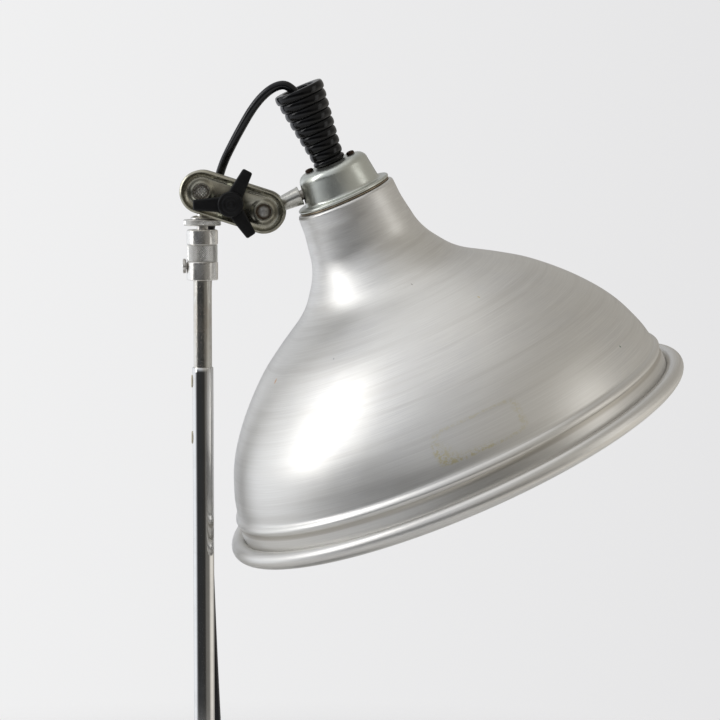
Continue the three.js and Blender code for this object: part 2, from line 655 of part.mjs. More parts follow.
// A strap closed round the coil's turns, on the side away from the lamp.
function coilTie() {
	const { x, y, middle, width, bottom, top } = COIL;
	const rectangle = (w, low, high) => {
		const s = new THREE.Shape();
		s.moveTo(-w, low);
		s.lineTo(w, low);
		s.lineTo(w, high);
		s.lineTo(-w, high);
		s.closePath();
		return s;
	};
	const strap = rectangle(width + 1.6, bottom - 1.5, top + 1.3);
	strap.holes.push(rectangle(width + 0.7, bottom - 0.4, top + 0.4));
	const band = new THREE.ExtrudeGeometry(strap, { depth: 7, bevelEnabled: false });
	return closed(band.translate(0, 0, -3.5).rotateX(Math.PI / 2).rotateZ(Math.PI / 2).translate(x, y + middle, 0));
}

// A flat two-pin plug that lies on the coil, its pins towards +X.
function plugBody() {
	const { x, y, height, length } = PLUG;
	const s = new THREE.Shape();
	s.moveTo(-length / 2, -5);
	s.lineTo(-length / 2 + 14, -12);
	s.lineTo(length / 2, -13);
	s.lineTo(length / 2, 13);
	s.lineTo(-length / 2 + 14, 12);
	s.lineTo(-length / 2, 5);
	s.closePath();
	const slab = new THREE.ExtrudeGeometry(s, { depth: 13.4, bevelEnabled: false }).translate(0, 0, -6.7);
	return closed(slab.translate(x, y, height));
}

function plugPin(side) {
	const { x, y, height, length } = PLUG;
	const start = length / 2 + GAP;
	const pin = turned([[0, start], [2, start], [2, start + 17.6], [1.2, start + 18.8], [0, start + 18.8]], 12);
	return pin.rotateY(Math.PI / 2).translate(x, y + side * 9.3, height);
}

// The plug's tapered sleeve, which the lead runs into.
function plugSleeve() {
	const { x, y, height, length, sleeve } = PLUG;
	const end = -length / 2 - GAP;
	const rings = [[0, end - sleeve], [3.9, end - sleeve], [4.9, end], [0, end]];
	return turned(rings, 16).rotateY(Math.PI / 2).translate(x, y, height);
}

const tail = new THREE.CatmullRomCurve3(TAIL.map((p) => new THREE.Vector3(...p)), false, 'centripetal');
const ends = [LOOP, OVER, BEHIND, BESIDE, DOWN].reduce((all, part) => [...all, all[all.length - 1] + part.length], [0]);

add(lamp, 'lead_loop', lead(route, ends[0], ends[1]), LEAD_PVC);
add(lamp, 'lead_over', lead(route, ends[1], ends[2]), LEAD_PVC);
add(lamp, 'lead_behind', lead(route, ends[2], ends[3]), LEAD_PVC);
add(lamp, 'lead_beside', lead(route, ends[3], ends[4]), LEAD_PVC);
add(lamp, 'lead_down', lead(route, ends[4], ends[5]), LEAD_PVC);
add(lamp, 'lead_coil', coil(), LEAD_PVC);
add(lamp, 'lead_tail', lead(tail, 0, TAIL.length - 1), LEAD_PVC);
add(lamp, 'coil_tie', coilTie(), BLACK_PLASTIC);
add(lamp, 'plug_body', plugBody(), BLACK_PLASTIC);
add(lamp, 'plug_sleeve', plugSleeve(), BLACK_RUBBER);
add(lamp, 'plug_pin_left', plugPin(-1), BRASS);
add(lamp, 'plug_pin_right', plugPin(1), BRASS);

export default lamp;
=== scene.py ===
"""Reflector desk lamp: a spun metal bell on a telescopic column, held by a clamp with two balls.

Metres, +Z up. Profiles are written in millimetres, in each piece's own frame, and then put in place.
"""

import math

import bpy
from mathutils import Matrix, Vector


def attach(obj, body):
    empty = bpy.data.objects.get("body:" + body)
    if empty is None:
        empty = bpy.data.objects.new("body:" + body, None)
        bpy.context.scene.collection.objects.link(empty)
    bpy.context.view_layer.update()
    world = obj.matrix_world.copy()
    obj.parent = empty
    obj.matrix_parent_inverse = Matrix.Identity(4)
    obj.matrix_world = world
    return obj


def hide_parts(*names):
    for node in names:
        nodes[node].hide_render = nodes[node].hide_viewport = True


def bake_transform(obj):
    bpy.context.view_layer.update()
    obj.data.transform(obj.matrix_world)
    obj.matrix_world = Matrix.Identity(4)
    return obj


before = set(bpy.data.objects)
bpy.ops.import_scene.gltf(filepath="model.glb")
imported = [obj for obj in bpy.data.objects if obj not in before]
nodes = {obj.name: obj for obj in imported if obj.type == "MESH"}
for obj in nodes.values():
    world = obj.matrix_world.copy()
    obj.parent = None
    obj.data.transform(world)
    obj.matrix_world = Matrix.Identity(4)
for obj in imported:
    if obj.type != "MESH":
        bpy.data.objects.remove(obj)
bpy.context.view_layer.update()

MM = 0.001
TURN = 2 * math.pi

# -------- where things are

BALL_HEIGHT = 559.4
LINK_LENGTH = 43.5
LINK_SLOPE = 17.65
STEM_REACH = 53.5
BALL_RADIUS = 8
THUMB_SCREW_DROP = 49.8  # below the stand ball
BOLT_X = LINK_LENGTH / 2 - 0.4
BOLT_Z = -1.7
STEM_LIFT = 23.4
HEAD_ROLL = 5.8


def shift(x, y, z):
    """A move, in millimetres."""
    return Matrix.Translation((x * MM, y * MM, z * MM))


def rotated(degrees, axis):
    return Matrix.Rotation(math.radians(degrees), 4, axis)


STAND_FRAME = Matrix.Identity(4)
BALL_FRAME = shift(0, 0, BALL_HEIGHT)
LINK_FRAME = BALL_FRAME @ rotated(LINK_SLOPE, "Y")
LAMP_BALL_CENTRE = LINK_FRAME @ Vector((LINK_LENGTH * MM, 0, 0))
ARM_FRAME = Matrix.Translation(LAMP_BALL_CENTRE) @ rotated(-STEM_LIFT, "Y") @ rotated(HEAD_ROLL, "X")
HEAD_FRAME = ARM_FRAME @ shift(STEM_REACH, 0, 0)
KNOB_FRAME = LINK_FRAME @ shift(BOLT_X, 0, BOLT_Z)
ALONG_X = rotated(90, "Y")
TOWARDS_FRONT = rotated(90, "X")

# -------- camera

CAMERA_PLACE = (0.1057, -1.885, 0.605)
CAMERA_TARGET = (0.1057, 0, 0.4463)
CAMERA_LENS = 140.6


def aim(name, data, place, target):
    """Adds a camera or a light, turned to its target."""
    thing = bpy.data.objects.new(name, data)
    bpy.context.scene.collection.objects.link(thing)
    thing.location = place
    gaze = Vector(target) - Vector(place)
    thing.rotation_euler = gaze.to_track_quat("-Z", "Y").to_euler()
    return thing


def add_camera():
    data = bpy.data.cameras.new("camera")
    data.lens = CAMERA_LENS
    data.clip_end = 100
    bpy.context.scene.camera = aim("camera", data, CAMERA_PLACE, CAMERA_TARGET)


add_camera()

# -------- modelling helpers


def begin(name, primitive, **settings):
    """Adds a primitive with everything else deselected, and names it."""
    bpy.ops.object.select_all(action="DESELECT")
    primitive(**settings)
    piece = bpy.context.object
    piece.name = piece.data.name = name
    return piece


def only(piece):
    bpy.ops.object.select_all(action="DESELECT")
    piece.select_set(True)
    bpy.context.view_layer.objects.active = piece


def edit(mode="VERT", action="SELECT"):
    """Enters edit mode, with everything selected or nothing."""
    bpy.ops.object.mode_set(mode="EDIT")
    bpy.ops.mesh.select_mode(type=mode)
    bpy.ops.mesh.select_all(action=action)


def leave():
    bpy.ops.object.mode_set(mode="OBJECT")


def pick(piece, kind, test):
    """Selects the piece's vertices, edges or polygons that pass the test, and leaves it in edit mode."""
    edit({"vertices": "VERT", "edges": "EDGE", "polygons": "FACE"}[kind], "DESELECT")
    leave()
    for part in getattr(piece.data, kind):
        part.select = test(part)
    bpy.ops.object.mode_set(mode="EDIT")


def drawn(name, profile):
    """A line of (radius, height) in millimetres, drawn in XZ by extruding one vertex."""
    piece = begin(name, bpy.ops.mesh.primitive_plane_add, size=MM)
    edit()
    bpy.ops.mesh.merge(type="CENTER")
    bpy.ops.transform.translate(value=(profile[0][0] * MM, 0, profile[0][1] * MM))
    for (r0, h0), (r1, h1) in zip(profile, profile[1:]):
        step = ((r1 - r0) * MM, 0, (h1 - h0) * MM)
        bpy.ops.mesh.extrude_region_move(TRANSFORM_OT_translate={"value": step})
    return piece


def spun(name, profile, steps=64):
    """The profile spun about Z; it closes on itself or starts and ends on the axis."""
    if profile[0][0] > 0 or profile[-1][0] > 0:
        profile = [*profile, profile[0]]
    piece = drawn(name, profile)
    bpy.ops.mesh.select_all(action="SELECT")
    bpy.ops.mesh.spin(steps=steps, angle=TURN, center=(0, 0, 0), axis=(0, 0, 1))
    tidy_mesh()
    leave()
    return piece


def tidy_mesh():
    """Merges doubles and turns the faces outwards, in edit mode."""
    bpy.ops.mesh.select_all(action="SELECT")
    bpy.ops.mesh.remove_doubles(threshold=2e-7)
    bpy.ops.mesh.normals_make_consistent(inside=False)


def modify(piece, kind, **settings):
    """Adds a modifier and applies it."""
    only(piece)
    modifier = piece.modifiers.new(kind.lower(), kind)
    for key, value in settings.items():
        setattr(modifier, key, value)
    bpy.ops.object.modifier_apply(modifier=modifier.name)


def rounded(piece, width, segments=2, angle=35):
    size = {"width": width * MM, "segments": segments}
    modify(piece, "BEVEL", **size, limit_method="ANGLE", angle_limit=math.radians(angle))
    return piece


def carve(piece, *cutters, operation="DIFFERENCE"):
    """Cuts the pieces from this one, or joins them to it, and removes them."""
    for cutter in cutters:
        modify(piece, "BOOLEAN", object=cutter, operation=operation, solver="EXACT")
        bpy.data.objects.remove(cutter)
    return piece


def smoothed(piece, angle=35):
    only(piece)
    bpy.ops.object.shade_smooth_by_angle(angle=math.radians(angle))
    return piece


def settle(piece, place):
    """Puts the piece in place and leaves the place in its mesh."""
    only(piece)
    piece.matrix_world = place @ piece.matrix_world
    bpy.ops.object.transform_apply(location=True, rotation=True, scale=True)
    return piece


def finish_piece(piece, place, body, look, slot, *replaced, angle=35):
    """Settles, smooths and paints a piece, ties it to its body, and hides the CAD nodes it replaces."""
    settle(piece, place)
    smoothed(piece, angle)
    piece.data.materials.clear()
    piece.data.materials.append(look)
    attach(piece, body)
    if replaced:
        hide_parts(*replaced)


def cylinder(name, vertices, radius, depth, **more):
    """A cylinder along Z, in millimetres."""
    settings = {"vertices": vertices, "radius": radius * MM, "depth": depth * MM, **more}
    return begin(name, bpy.ops.mesh.primitive_cylinder_add, **settings)


def box(name, length, depth, height, place=STAND_FRAME):
    """A block of these millimetres, in place."""
    piece = begin(name, bpy.ops.mesh.primitive_cube_add, size=1)
    return settle(piece, place @ Matrix.Diagonal((length * MM, depth * MM, height * MM, 1)))


def extent(piece, edge, axis):
    """How far an edge reaches along X, Y or Z (0, 1, 2)."""
    a, b = (piece.data.vertices[i].co[axis] for i in edge.vertices)
    return abs(a - b)


def paint_ball(piece, centre, radius, look):
    """Gives the faces within this many millimetres of a ball's centre a look of their own."""
    piece.data.materials.append(look)
    for polygon in piece.data.polygons:
        if (polygon.center - centre).length < radius * MM:
            polygon.material_index = 1


def arc(r, h, radius, start, end, steps):
    """The points of an arc, with angles in degrees."""
    angles = [math.radians(start + (end - start) * i / steps) for i in range(steps + 1)]
    return [(r + radius * math.cos(a), h + radius * math.sin(a)) for a in angles]


def through(points, steps):
    """Points on a smooth curve through the given ones, `steps` to each stretch."""
    padded = [points[0], *points, points[-1]]
    line = []
    for i in range(1, len(padded) - 2):
        a, b, c, d = (Vector(p) for p in padded[i - 1 : i + 3])
        for k in range(steps):
            t = k / steps
            square = (2 * a - 5 * b + 4 * c - d) * t**2
            cube = (3 * b - a - 3 * c + d) * t**3
            line.append(0.5 * (2 * b + (c - a) * t + square + cube))
    return [tuple(p) for p in [*line, Vector(points[-1])]]


def shell(line, wall):
    """A sheet's outline: the line, and the same line set in by the wall, walked back."""
    inner = []
    for i, (r, h) in enumerate(line):
        r0, h0 = line[max(i - 1, 0)]
        r1, h1 = line[min(i + 1, len(line) - 1)]
        length = math.hypot(r1 - r0, h1 - h0)
        inner.append((r - wall * (h1 - h0) / length, h + wall * (r1 - r0) / length))
    return [*line, *reversed(inner)]


# -------- material helpers


class Nodes:
    """A node tree with short ways to add nodes and to link them."""

    def __init__(self, tree):
        self.tree = tree

    def add(self, kind, inputs=None, **settings):
        node = self.tree.nodes.new(kind)
        for key, value in settings.items():
            setattr(node, key, value)
        for key, value in (inputs or {}).items():
            self.put(node.inputs[key], value)
        return node

    def put(self, target, value):
        if isinstance(value, bpy.types.NodeSocket):
            self.tree.links.new(value, target)
        elif target.type == "RGBA" and len(value) == 3:
            target.default_value = (*value, 1)
        else:
            target.default_value = value

    def math(self, operation, *values):
        return self.add("ShaderNodeMath", dict(enumerate(values)), operation=operation).outputs[0]

    def plus(self, a, b):
        return self.math("ADD", a, b)

    def minus(self, a, b):
        return self.math("SUBTRACT", a, b)

    def times(self, a, b):
        return self.math("MULTIPLY", a, b)

    def vector(self, operation, *values):
        node = self.add("ShaderNodeVectorMath", dict(enumerate(values)), operation=operation)
        return node.outputs["Value" if operation == "LENGTH" else "Vector"]

    def mix(self, factor, a, b):
        inputs = {0: factor, 6: a, 7: b}
        return self.add("ShaderNodeMix", inputs, data_type="RGBA", clamp_factor=True).outputs[2]

    def blend(self, factor, a, b):
        inputs = {0: factor, 2: a, 3: b}
        return self.add("ShaderNodeMix", inputs, data_type="FLOAT", clamp_factor=True).outputs[0]

    def noise(self, vector, scale, detail=3.0, roughness=0.5, distortion=0.0):
        inputs = {"Vector": vector, "Scale": scale, "Detail": detail}
        inputs |= {"Roughness": roughness, "Distortion": distortion}
        return self.add("ShaderNodeTexNoise", inputs).outputs[0]

    def ramp(self, value, low, high, smooth=True):
        """0 at `low` and 1 at `high`, held outside them."""
        kind = "SMOOTHSTEP" if smooth else "LINEAR"
        inputs = {"Value": value, "From Min": low, "From Max": high}
        return self.add("ShaderNodeMapRange", inputs, interpolation_type=kind, clamp=True).outputs[0]

    def separate(self, vector):
        return self.add("ShaderNodeSeparateXYZ", {0: vector}).outputs

    def combine(self, x, y, z):
        return self.add("ShaderNodeCombineXYZ", {0: x, 1: y, 2: z}).outputs[0]

    def group(self, tree, **inputs):
        node = self.add("ShaderNodeGroup", node_tree=tree)
        for key, value in inputs.items():
            self.put(node.inputs[key.replace("_", " ")], value)
        return node.outputs


def new_group(name, outputs, **numbers):
    """A shader node group with a vector and numbers as inputs; returns it, its helper and both its ends."""
    tree = bpy.data.node_groups.new(name, "ShaderNodeTree")
    add = tree.interface.new_socket
    add("Vector", in_out="INPUT", socket_type="NodeSocketVector")
    for key, default in numbers.items():
        made = add(key.replace("_", " "), in_out="INPUT", socket_type="NodeSocketFloat")
        made.default_value = default
    for key in outputs:
        add(key, in_out="OUTPUT", socket_type="NodeSocketFloat")
    n = Nodes(tree)
    given = n.add("NodeGroupInput").outputs
    out = n.add("NodeGroupOutput").inputs
    return tree, n, given, out


def turning_marks():
    """Fine lines round the Z axis, as a lathe or a spinning tool leaves."""
    tree, n, given, out = new_group("turning_marks", ("Fine", "Broad"), Lines=900.0, Drift=6.0)
    x, y, z = n.separate(given["Vector"])
    radius = n.math("SQRT", n.plus(n.times(x, x), n.times(y, y)))
    safe = n.math("MAXIMUM", radius, 1e-4)
    along = n.minus(radius, z)
    drift = given["Drift"]
    side = n.times(n.math("DIVIDE", x, safe), drift)
    front = n.times(n.math("DIVIDE", y, safe), drift)
    lines = n.combine(n.times(along, given["Lines"]), side, front)
    fine = n.noise(lines, 1.0, 4.0, 0.65)
    few = n.times(given["Lines"], 0.11)
    bands = n.combine(n.times(along, few), n.times(side, 0.3), n.times(front, 0.3))
    n.put(out["Fine"], fine)
    n.put(out["Broad"], n.noise(bands, 1.0, 2.0, 0.5))
    return tree


def stains():
    """Soft cloudy patches and small sharp specks."""
    numbers = {"Size": 0.02, "Cover": 0.4, "Speck_Size": 0.0012}
    tree, n, given, out = new_group("stains", ("Patches", "Specks"), **numbers)
    scale = n.math("DIVIDE", 1.0, given["Size"])
    cloud = n.noise(given["Vector"], scale, 5.0, 0.6, 0.4)
    edge = n.minus(1.0, given["Cover"])
    n.put(out["Patches"], n.ramp(cloud, n.minus(edge, 0.16), n.plus(edge, 0.16)))
    fine = n.noise(given["Vector"], n.math("DIVIDE", 1.0, given["Speck Size"]), 2.0, 0.55)
    here = n.noise(given["Vector"], n.times(scale, 1.7), 2.0, 0.5)
    n.put(out["Specks"], n.times(n.ramp(fine, 0.66, 0.74), n.ramp(here, 0.42, 0.62)))
    return tree


def hairlines():
    """Thin scratches that run in many directions."""
    tree, n, given, out = new_group("hairlines", ("Mask",), Size=0.01, Density=0.5)
    scale = n.math("DIVIDE", 1.0, given["Size"])
    total = None
    for angle, bend in ((0.4, 1.3), (1.5, 0.8), (2.6, 1.1)):
        turn = n.add("ShaderNodeMapping", {"Vector": given["Vector"], "Rotation": (angle, angle * 0.7, bend)})
        stretch = n.vector("MULTIPLY", turn.outputs[0], (1.0, 0.06, 0.06))
        bent = n.noise(n.vector("MULTIPLY", stretch, (22.0, 22.0, 22.0)), scale, 1.0, 0.4, 0.3)
        line = n.ramp(n.math("ABSOLUTE", n.minus(bent, 0.5)), 0.012, 0.0)
        total = line if total is None else n.math("MAXIMUM", total, line)
    where = n.ramp(n.noise(given["Vector"], n.times(scale, 0.9), 2.0), 0.62, 0.38)
    n.put(out["Mask"], n.times(n.times(total, where), given["Density"]))
    return tree


def crevices():
    """Dirt and painted shade where surfaces meet, from how closed in the point is."""
    tree, n, given, out = new_group("crevices", ("Mask",), Reach=0.003)
    # ambient occlusion gives the painted shade part of the mask; the noise below adds real grime
    closed = n.add("ShaderNodeAmbientOcclusion", {"Distance": given["Reach"]}, samples=6)
    grime = n.noise(given["Vector"], 600.0, 3.0)
    depth = n.minus(1.0, closed.outputs["AO"])
    uneven = n.plus(depth, n.times(n.minus(grime, 0.5), 0.35))
    n.put(out["Mask"], n.ramp(uneven, 0.25, 0.75))
    return tree


TURNING = turning_marks()
STAINS = stains()
HAIRLINES = hairlines()
CREVICES = crevices()


def material(name, space=STAND_FRAME, **uniform):
    """A material whose Principled sockets take the uniform values; its position is read in `space`."""
    made = bpy.data.materials.new(name)
    made.use_nodes = True
    tree = made.node_tree
    tree.nodes.clear()
    n = Nodes(tree)
    shader = n.add("ShaderNodeBsdfPrincipled")
    for key, value in uniform.items():
        n.put(shader.inputs[key.replace("_", " ")], value)
    n.add("ShaderNodeOutputMaterial", {"Surface": shader.outputs[0]})
    place = n.add("ShaderNodeTexCoord").outputs["Object"]
    if space is not STAND_FRAME:
        centre, turn, _ = space.decompose()
        inputs = {"Vector": place, "Location": centre, "Rotation": turn.to_euler()}
        place = n.add("ShaderNodeMapping", inputs, vector_type="TEXTURE").outputs[0]
    return made, n, shader, place


def bump(n, shader, height, strength, distance, below=None):
    """Feeds the shader's normal from a height; distance is in millimetres."""
    inputs = {"Height": height, "Strength": strength, "Distance": distance * MM}
    if below is not None:
        inputs["Normal"] = below
    node = n.add("ShaderNodeBump", inputs)
    n.put(shader.inputs["Normal"], node.outputs[0])
    return node.outputs[0]


# -------- materials


def spun_aluminium():
    made, n, shader, place = material("spun_aluminium", HEAD_FRAME, Metallic=0.9, Anisotropic=0.4)
    marks = n.group(TURNING, Vector=place, Lines=1500.0, Drift=3.0)
    soil = n.group(STAINS, Vector=place, Size=0.09, Cover=0.45, Speck_Size=0.0016)
    warm = n.mix(soil["Patches"], (0.66, 0.645, 0.61), (0.61, 0.6, 0.585))
    lined = n.mix(n.ramp(marks["Fine"], 0.35, 0.75), warm, (0.72, 0.71, 0.68))
    lined = n.mix(n.times(n.ramp(marks["Broad"], 0.46, 0.75), 0.35), lined, (0.53, 0.51, 0.475))
    # the outline of dried glue where a label was, thickest at one corner
    x, y, z = n.separate(place)
    angle = n.math("ARCTAN2", n.times(y, -1.0), x)
    across = n.math("DIVIDE", n.minus(angle, LABEL["turn"]), LABEL["half_turn"])
    down = n.math("DIVIDE", n.minus(z, LABEL["height"] * MM), LABEL["half_height"] * MM)
    wobble = n.times(n.minus(n.noise(place, 260.0, 3.0), 0.5), 0.22)
    squareness = 6.0
    corner = n.math("POWER", n.math("ABSOLUTE", across), squareness)
    corner = n.plus(corner, n.math("POWER", n.math("ABSOLUTE", down), squareness))
    edge = n.plus(n.math("POWER", corner, 1 / squareness), wobble)
    ring = n.times(n.ramp(edge, 0.86, 0.97), n.ramp(edge, 1.12, 1.0))
    crumbs = n.ramp(n.noise(place, 520.0, 4.0, 0.7), 0.42, 0.6)
    corner_side = n.minus(n.minus(across, down), 0.4)
    flaked = n.times(n.times(n.ramp(corner_side, -0.2, 1.0), n.ramp(edge, 0.5, 0.9)), 0.9)
    flaked = n.times(flaked, n.ramp(edge, 1.1, 1.0))
    shown = n.plus(n.times(ring, 0.45), flaked)
    colour = n.mix(n.times(shown, crumbs), lined, (0.6, 0.55, 0.37))
    # a few coloured spots
    radius = n.vector("LENGTH", n.combine(x, y, 0.0))
    for degrees, depth, size, tint in SPOTS:
        sideways = n.times(n.minus(angle, math.radians(degrees)), radius)
        below_spot = n.plus(z, depth * MM)
        away = n.vector("LENGTH", n.combine(sideways, below_spot, 0.0))
        uneven = n.plus(away, n.times(n.noise(place, 900.0), 0.0012))
        dot = n.ramp(uneven, size * 1.25 * MM, size * 0.7 * MM)
        colour = n.mix(n.times(dot, 0.8), colour, tint)
    # a dark band painted under the bead above the skirt: painted shade where the bead overhangs
    held = n.times(n.ramp(z, -192.5 * MM, -190.5 * MM), n.ramp(z, -187.5 * MM, -189 * MM))
    colour = n.mix(n.times(held, 0.45), colour, (0.26, 0.22, 0.16))
    n.put(shader.inputs["Base Color"], colour)
    rough = n.blend(marks["Fine"], 0.33, 0.45)
    rough = n.plus(rough, n.times(soil["Patches"], 0.05))
    n.put(shader.inputs["Roughness"], rough)
    around = n.add("ShaderNodeTangent", direction_type="UV_MAP", uv_map="around")
    n.put(shader.inputs["Tangent"], around.outputs[0])
    dents = n.noise(place, 26.0, 2.0, 0.45)
    below = bump(n, shader, dents, 0.3, 0.9)
    bump(n, shader, marks["Fine"], 0.08, 0.04, below)
    return made


def plated(
    name, space, base, dull, rough, turning=0.0, crease_dirt_and_shade=0.0, freckle=0.0, scratches=0.3, knurl=None, patch=0.012
):
    """Plated metal: `dull` in patches, brown in creases (dirt and painted shade), lathe lines, rusty brown
    freckles and scratches.
    """
    made, n, shader, place = material(name, space, Metallic=1.0)
    soil = n.group(STAINS, Vector=place, Size=patch, Cover=0.42, Speck_Size=0.0007)
    marks = n.group(TURNING, Vector=place, Lines=5200.0, Drift=2.0)
    dirt_and_shade_mask = n.group(CREVICES, Vector=place)["Mask"]
    lines = n.group(HAIRLINES, Vector=place, Size=0.012, Density=scratches)["Mask"]
    colour = n.mix(n.times(soil["Patches"], 0.65), base, dull)
    lathed = n.times(n.ramp(marks["Fine"], 0.35, 0.7), turning)
    colour = n.mix(lathed, colour, tuple(min(1.0, c * 1.18) for c in base))
    colour = n.mix(n.times(soil["Specks"], freckle), colour, (0.27, 0.12, 0.06))
    # brown in the creases: dirt, and painted shade from how closed in the point is
    colour = n.mix(n.times(dirt_and_shade_mask, crease_dirt_and_shade), colour, (0.14, 0.09, 0.055))
    n.put(shader.inputs["Base Color"], colour)
    specks = n.times(soil["Specks"], freckle)
    spoiled = n.math("MAXIMUM", specks, n.times(dirt_and_shade_mask, crease_dirt_and_shade))
    roughness = n.plus(rough, n.times(soil["Patches"], 0.4 * rough))
    roughness = n.plus(roughness, n.times(lines, 0.15))
    n.put(shader.inputs["Roughness"], n.blend(spoiled, roughness, 0.75))
    n.put(shader.inputs["Metallic"], n.blend(spoiled, 1.0, 0.35))
    pits = n.minus(n.times(marks["Fine"], turning), specks)
    below = bump(n, shader, n.minus(pits, lines), 0.25, 0.03)
    if knurl:
        # two sets of crossing grooves: how many go round, where a row starts, its height, and their depth
        count, start, row, depth = knurl
        x, y, z = n.separate(place)
        around = n.times(n.math("ARCTAN2", y, x), float(count))
        along = n.times(n.minus(z, start * MM), TURN / (row * MM))
        one = n.math("COSINE", n.plus(around, along))
        two = n.math("COSINE", n.minus(around, along))
        groove = n.math("MAXIMUM", one, two)
        if depth:
            bump(n, shader, n.times(groove, -1.0), 1.0, depth, below)
        # the grooves are painted darker: painted shade in the knurl's recesses
        groove_shade = n.times(n.ramp(groove, 0.3, 1.0), 0.7)
        n.put(shader.inputs["Base Color"], n.mix(groove_shade, colour, tuple(c * 0.25 for c in base)))
    return made


def moulded(name, space, base, worn, rough, grain, grain_height, coat=0.0, gloss=0.32):
    """Moulded plastic, rubber or enamel: a fine grain, creases darkened with dust and painted shade, and
    rubbed patches.
    """
    shine = {"Coat_Weight": coat, "Coat_Roughness": 0.08, "Specular_IOR_Level": gloss}
    made, n, shader, place = material(name, space, **shine)
    soil = n.group(STAINS, Vector=place, Size=0.015, Cover=0.35, Speck_Size=0.0006)
    dirt_and_shade_mask = n.group(CREVICES, Vector=place)["Mask"]
    lines = n.group(HAIRLINES, Vector=place, Size=0.01, Density=0.4)["Mask"]
    colour = n.mix(n.times(soil["Patches"], 0.7), base, worn)
    # darker in the creases: dust, and painted shade from how closed in the point is
    colour = n.mix(n.times(dirt_and_shade_mask, 0.25), colour, tuple(c * 0.5 + 0.03 for c in worn))
    colour = n.mix(n.times(lines, 0.5), colour, tuple(min(1.0, c * 1.5 + 0.02) for c in worn))
    n.put(shader.inputs["Base Color"], colour)
    roughness = n.plus(rough, n.times(soil["Patches"], 0.12))
    n.put(shader.inputs["Roughness"], n.plus(roughness, n.times(lines, 0.2)))
    texture = n.noise(place, 1000.0 / grain, 3.0, 0.6)
    bump(n, shader, n.minus(texture, n.times(lines, 0.6)), 0.3, grain_height)
    return made


# the lost label on the bell's front, in radians round its axis and millimetres along it
LABEL = {"turn": 1.43, "half_turn": 0.2, "height": -165, "half_height": 10.5}
# small marks: degrees round the bell, millimetres down it, radius, colour
SPOTS = [
    (156, 102, 1.7, (0.62, 0.33, 0.14)),
    (54, 98, 1.1, (0.6, 0.48, 0.2)),
    (31, 165, 1.3, (0.05, 0.14, 0.08)),
    (72, 76, 1.0, (0.24, 0.2, 0.18)),
    (121, 97, 1.1, (0.3, 0.3, 0.3)),
]

ALUMINIUM = spun_aluminium()
ZINC = plated("zinc_plate", HEAD_FRAME, (0.54, 0.555, 0.51), (0.44, 0.45, 0.4), 0.31, 0.3, 0.12, 0.5)
TARNISHED = plated("tarnished_bead", HEAD_FRAME, (0.36, 0.3, 0.22), (0.2, 0.15, 0.1), 0.4, 0.3, 0.5, 0.6)
CLAMP_STEEL = plated(
    "clamp_steel", LINK_FRAME, (0.38, 0.365, 0.3), (0.25, 0.235, 0.185), 0.24, 0.0, 0.06, 0.3
)
STEM_METAL = plated(
    "stem_metal", ARM_FRAME @ ALONG_X, (0.5, 0.49, 0.45), (0.36, 0.34, 0.29), 0.26, 0.5, 0.6, 0.5
)
BALL_METAL = plated(
    "mottled_ball", ARM_FRAME, (0.38, 0.37, 0.35), (0.03, 0.028, 0.025), 0.42, 0.0, 1.0, 1.0, patch=0.0016
)
KNURLED_BALL = plated(
    "knurled_ball", BALL_FRAME, (0.72, 0.7, 0.66), (0.6, 0.58, 0.53), 0.24, 0.2, 0.95, 0.2, 0.3,
    knurl=(22, 0, 2.3, 0.25),
)
# the two bands: how many diamonds go round, where the band starts and ends, how many rows it has
COUPLING_BAND = (44, -46.6, -35.7, 8)
RING_BAND = (52, -22.3, -19.1, 2)


def knurled_band(name, count, bottom, top, rows):
    """Bright plate whose painted groove shade falls on the band's own diamonds."""
    bright, dull = (0.9, 0.89, 0.86), (0.78, 0.76, 0.72)
    grooves = (count, bottom, (top - bottom) / rows, 0)
    return plated(name, BALL_FRAME, bright, dull, 0.2, 0.0, 0.3, 0.1, 0.3, knurl=grooves)


COUPLING_KNURL = knurled_band("coupling_knurl", *COUPLING_BAND)
RING_KNURL = knurled_band("ring_knurl", *RING_BAND)
NICKEL = plated("nickel_plate", BALL_FRAME, (0.74, 0.725, 0.69), (0.62, 0.6, 0.56), 0.24, 0.6, 0.35, 0.2)
CHROME = plated("chrome", STAND_FRAME, (0.7, 0.695, 0.68), (0.6, 0.59, 0.57), 0.06, 0.1, 0.3, 0.12, 0.25)
WORN_CHROME = plated(
    "worn_chrome", STAND_FRAME, (0.64, 0.62, 0.57), (0.5, 0.44, 0.37), 0.17, 0.3, 0.5, 1.0, 0.5
)
RUST = plated("rusty_steel", HEAD_FRAME, (0.16, 0.1, 0.07), (0.09, 0.06, 0.045), 0.6, 0.0, 0.8, 1.0)
SCREW_RUST = plated(
    "screw_rust", HEAD_FRAME, (0.055, 0.037, 0.028), (0.03, 0.022, 0.018), 0.55, 0.0, 0.4, 0.6
)
BRASS = plated("brass", STAND_FRAME, (0.62, 0.46, 0.2), (0.42, 0.3, 0.13), 0.28, 0.2, 0.4, 0.2)
IRON = plated("cast_iron", STAND_FRAME, (0.12, 0.12, 0.12), (0.09, 0.08, 0.075), 0.6, 0.0, 0.6, 0.8)
PLASTIC = moulded(
    "black_plastic", KNOB_FRAME, (0.004, 0.004, 0.0044), (0.01, 0.01, 0.011), 0.38, 0.25, 0.02, gloss=0.2
)
RUBBER = moulded(
    "black_rubber", HEAD_FRAME, (0.003, 0.003, 0.0033), (0.006, 0.006, 0.0066), 0.13, 0.4, 0.01, gloss=0.22
)
PVC = moulded("lead_pvc", STAND_FRAME, (0.005, 0.005, 0.0056), (0.011, 0.011, 0.012), 0.2, 0.6, 0.01)
NYLON = moulded("cream_nylon", STAND_FRAME, (0.66, 0.61, 0.48), (0.5, 0.44, 0.32), 0.38, 0.3, 0.02)
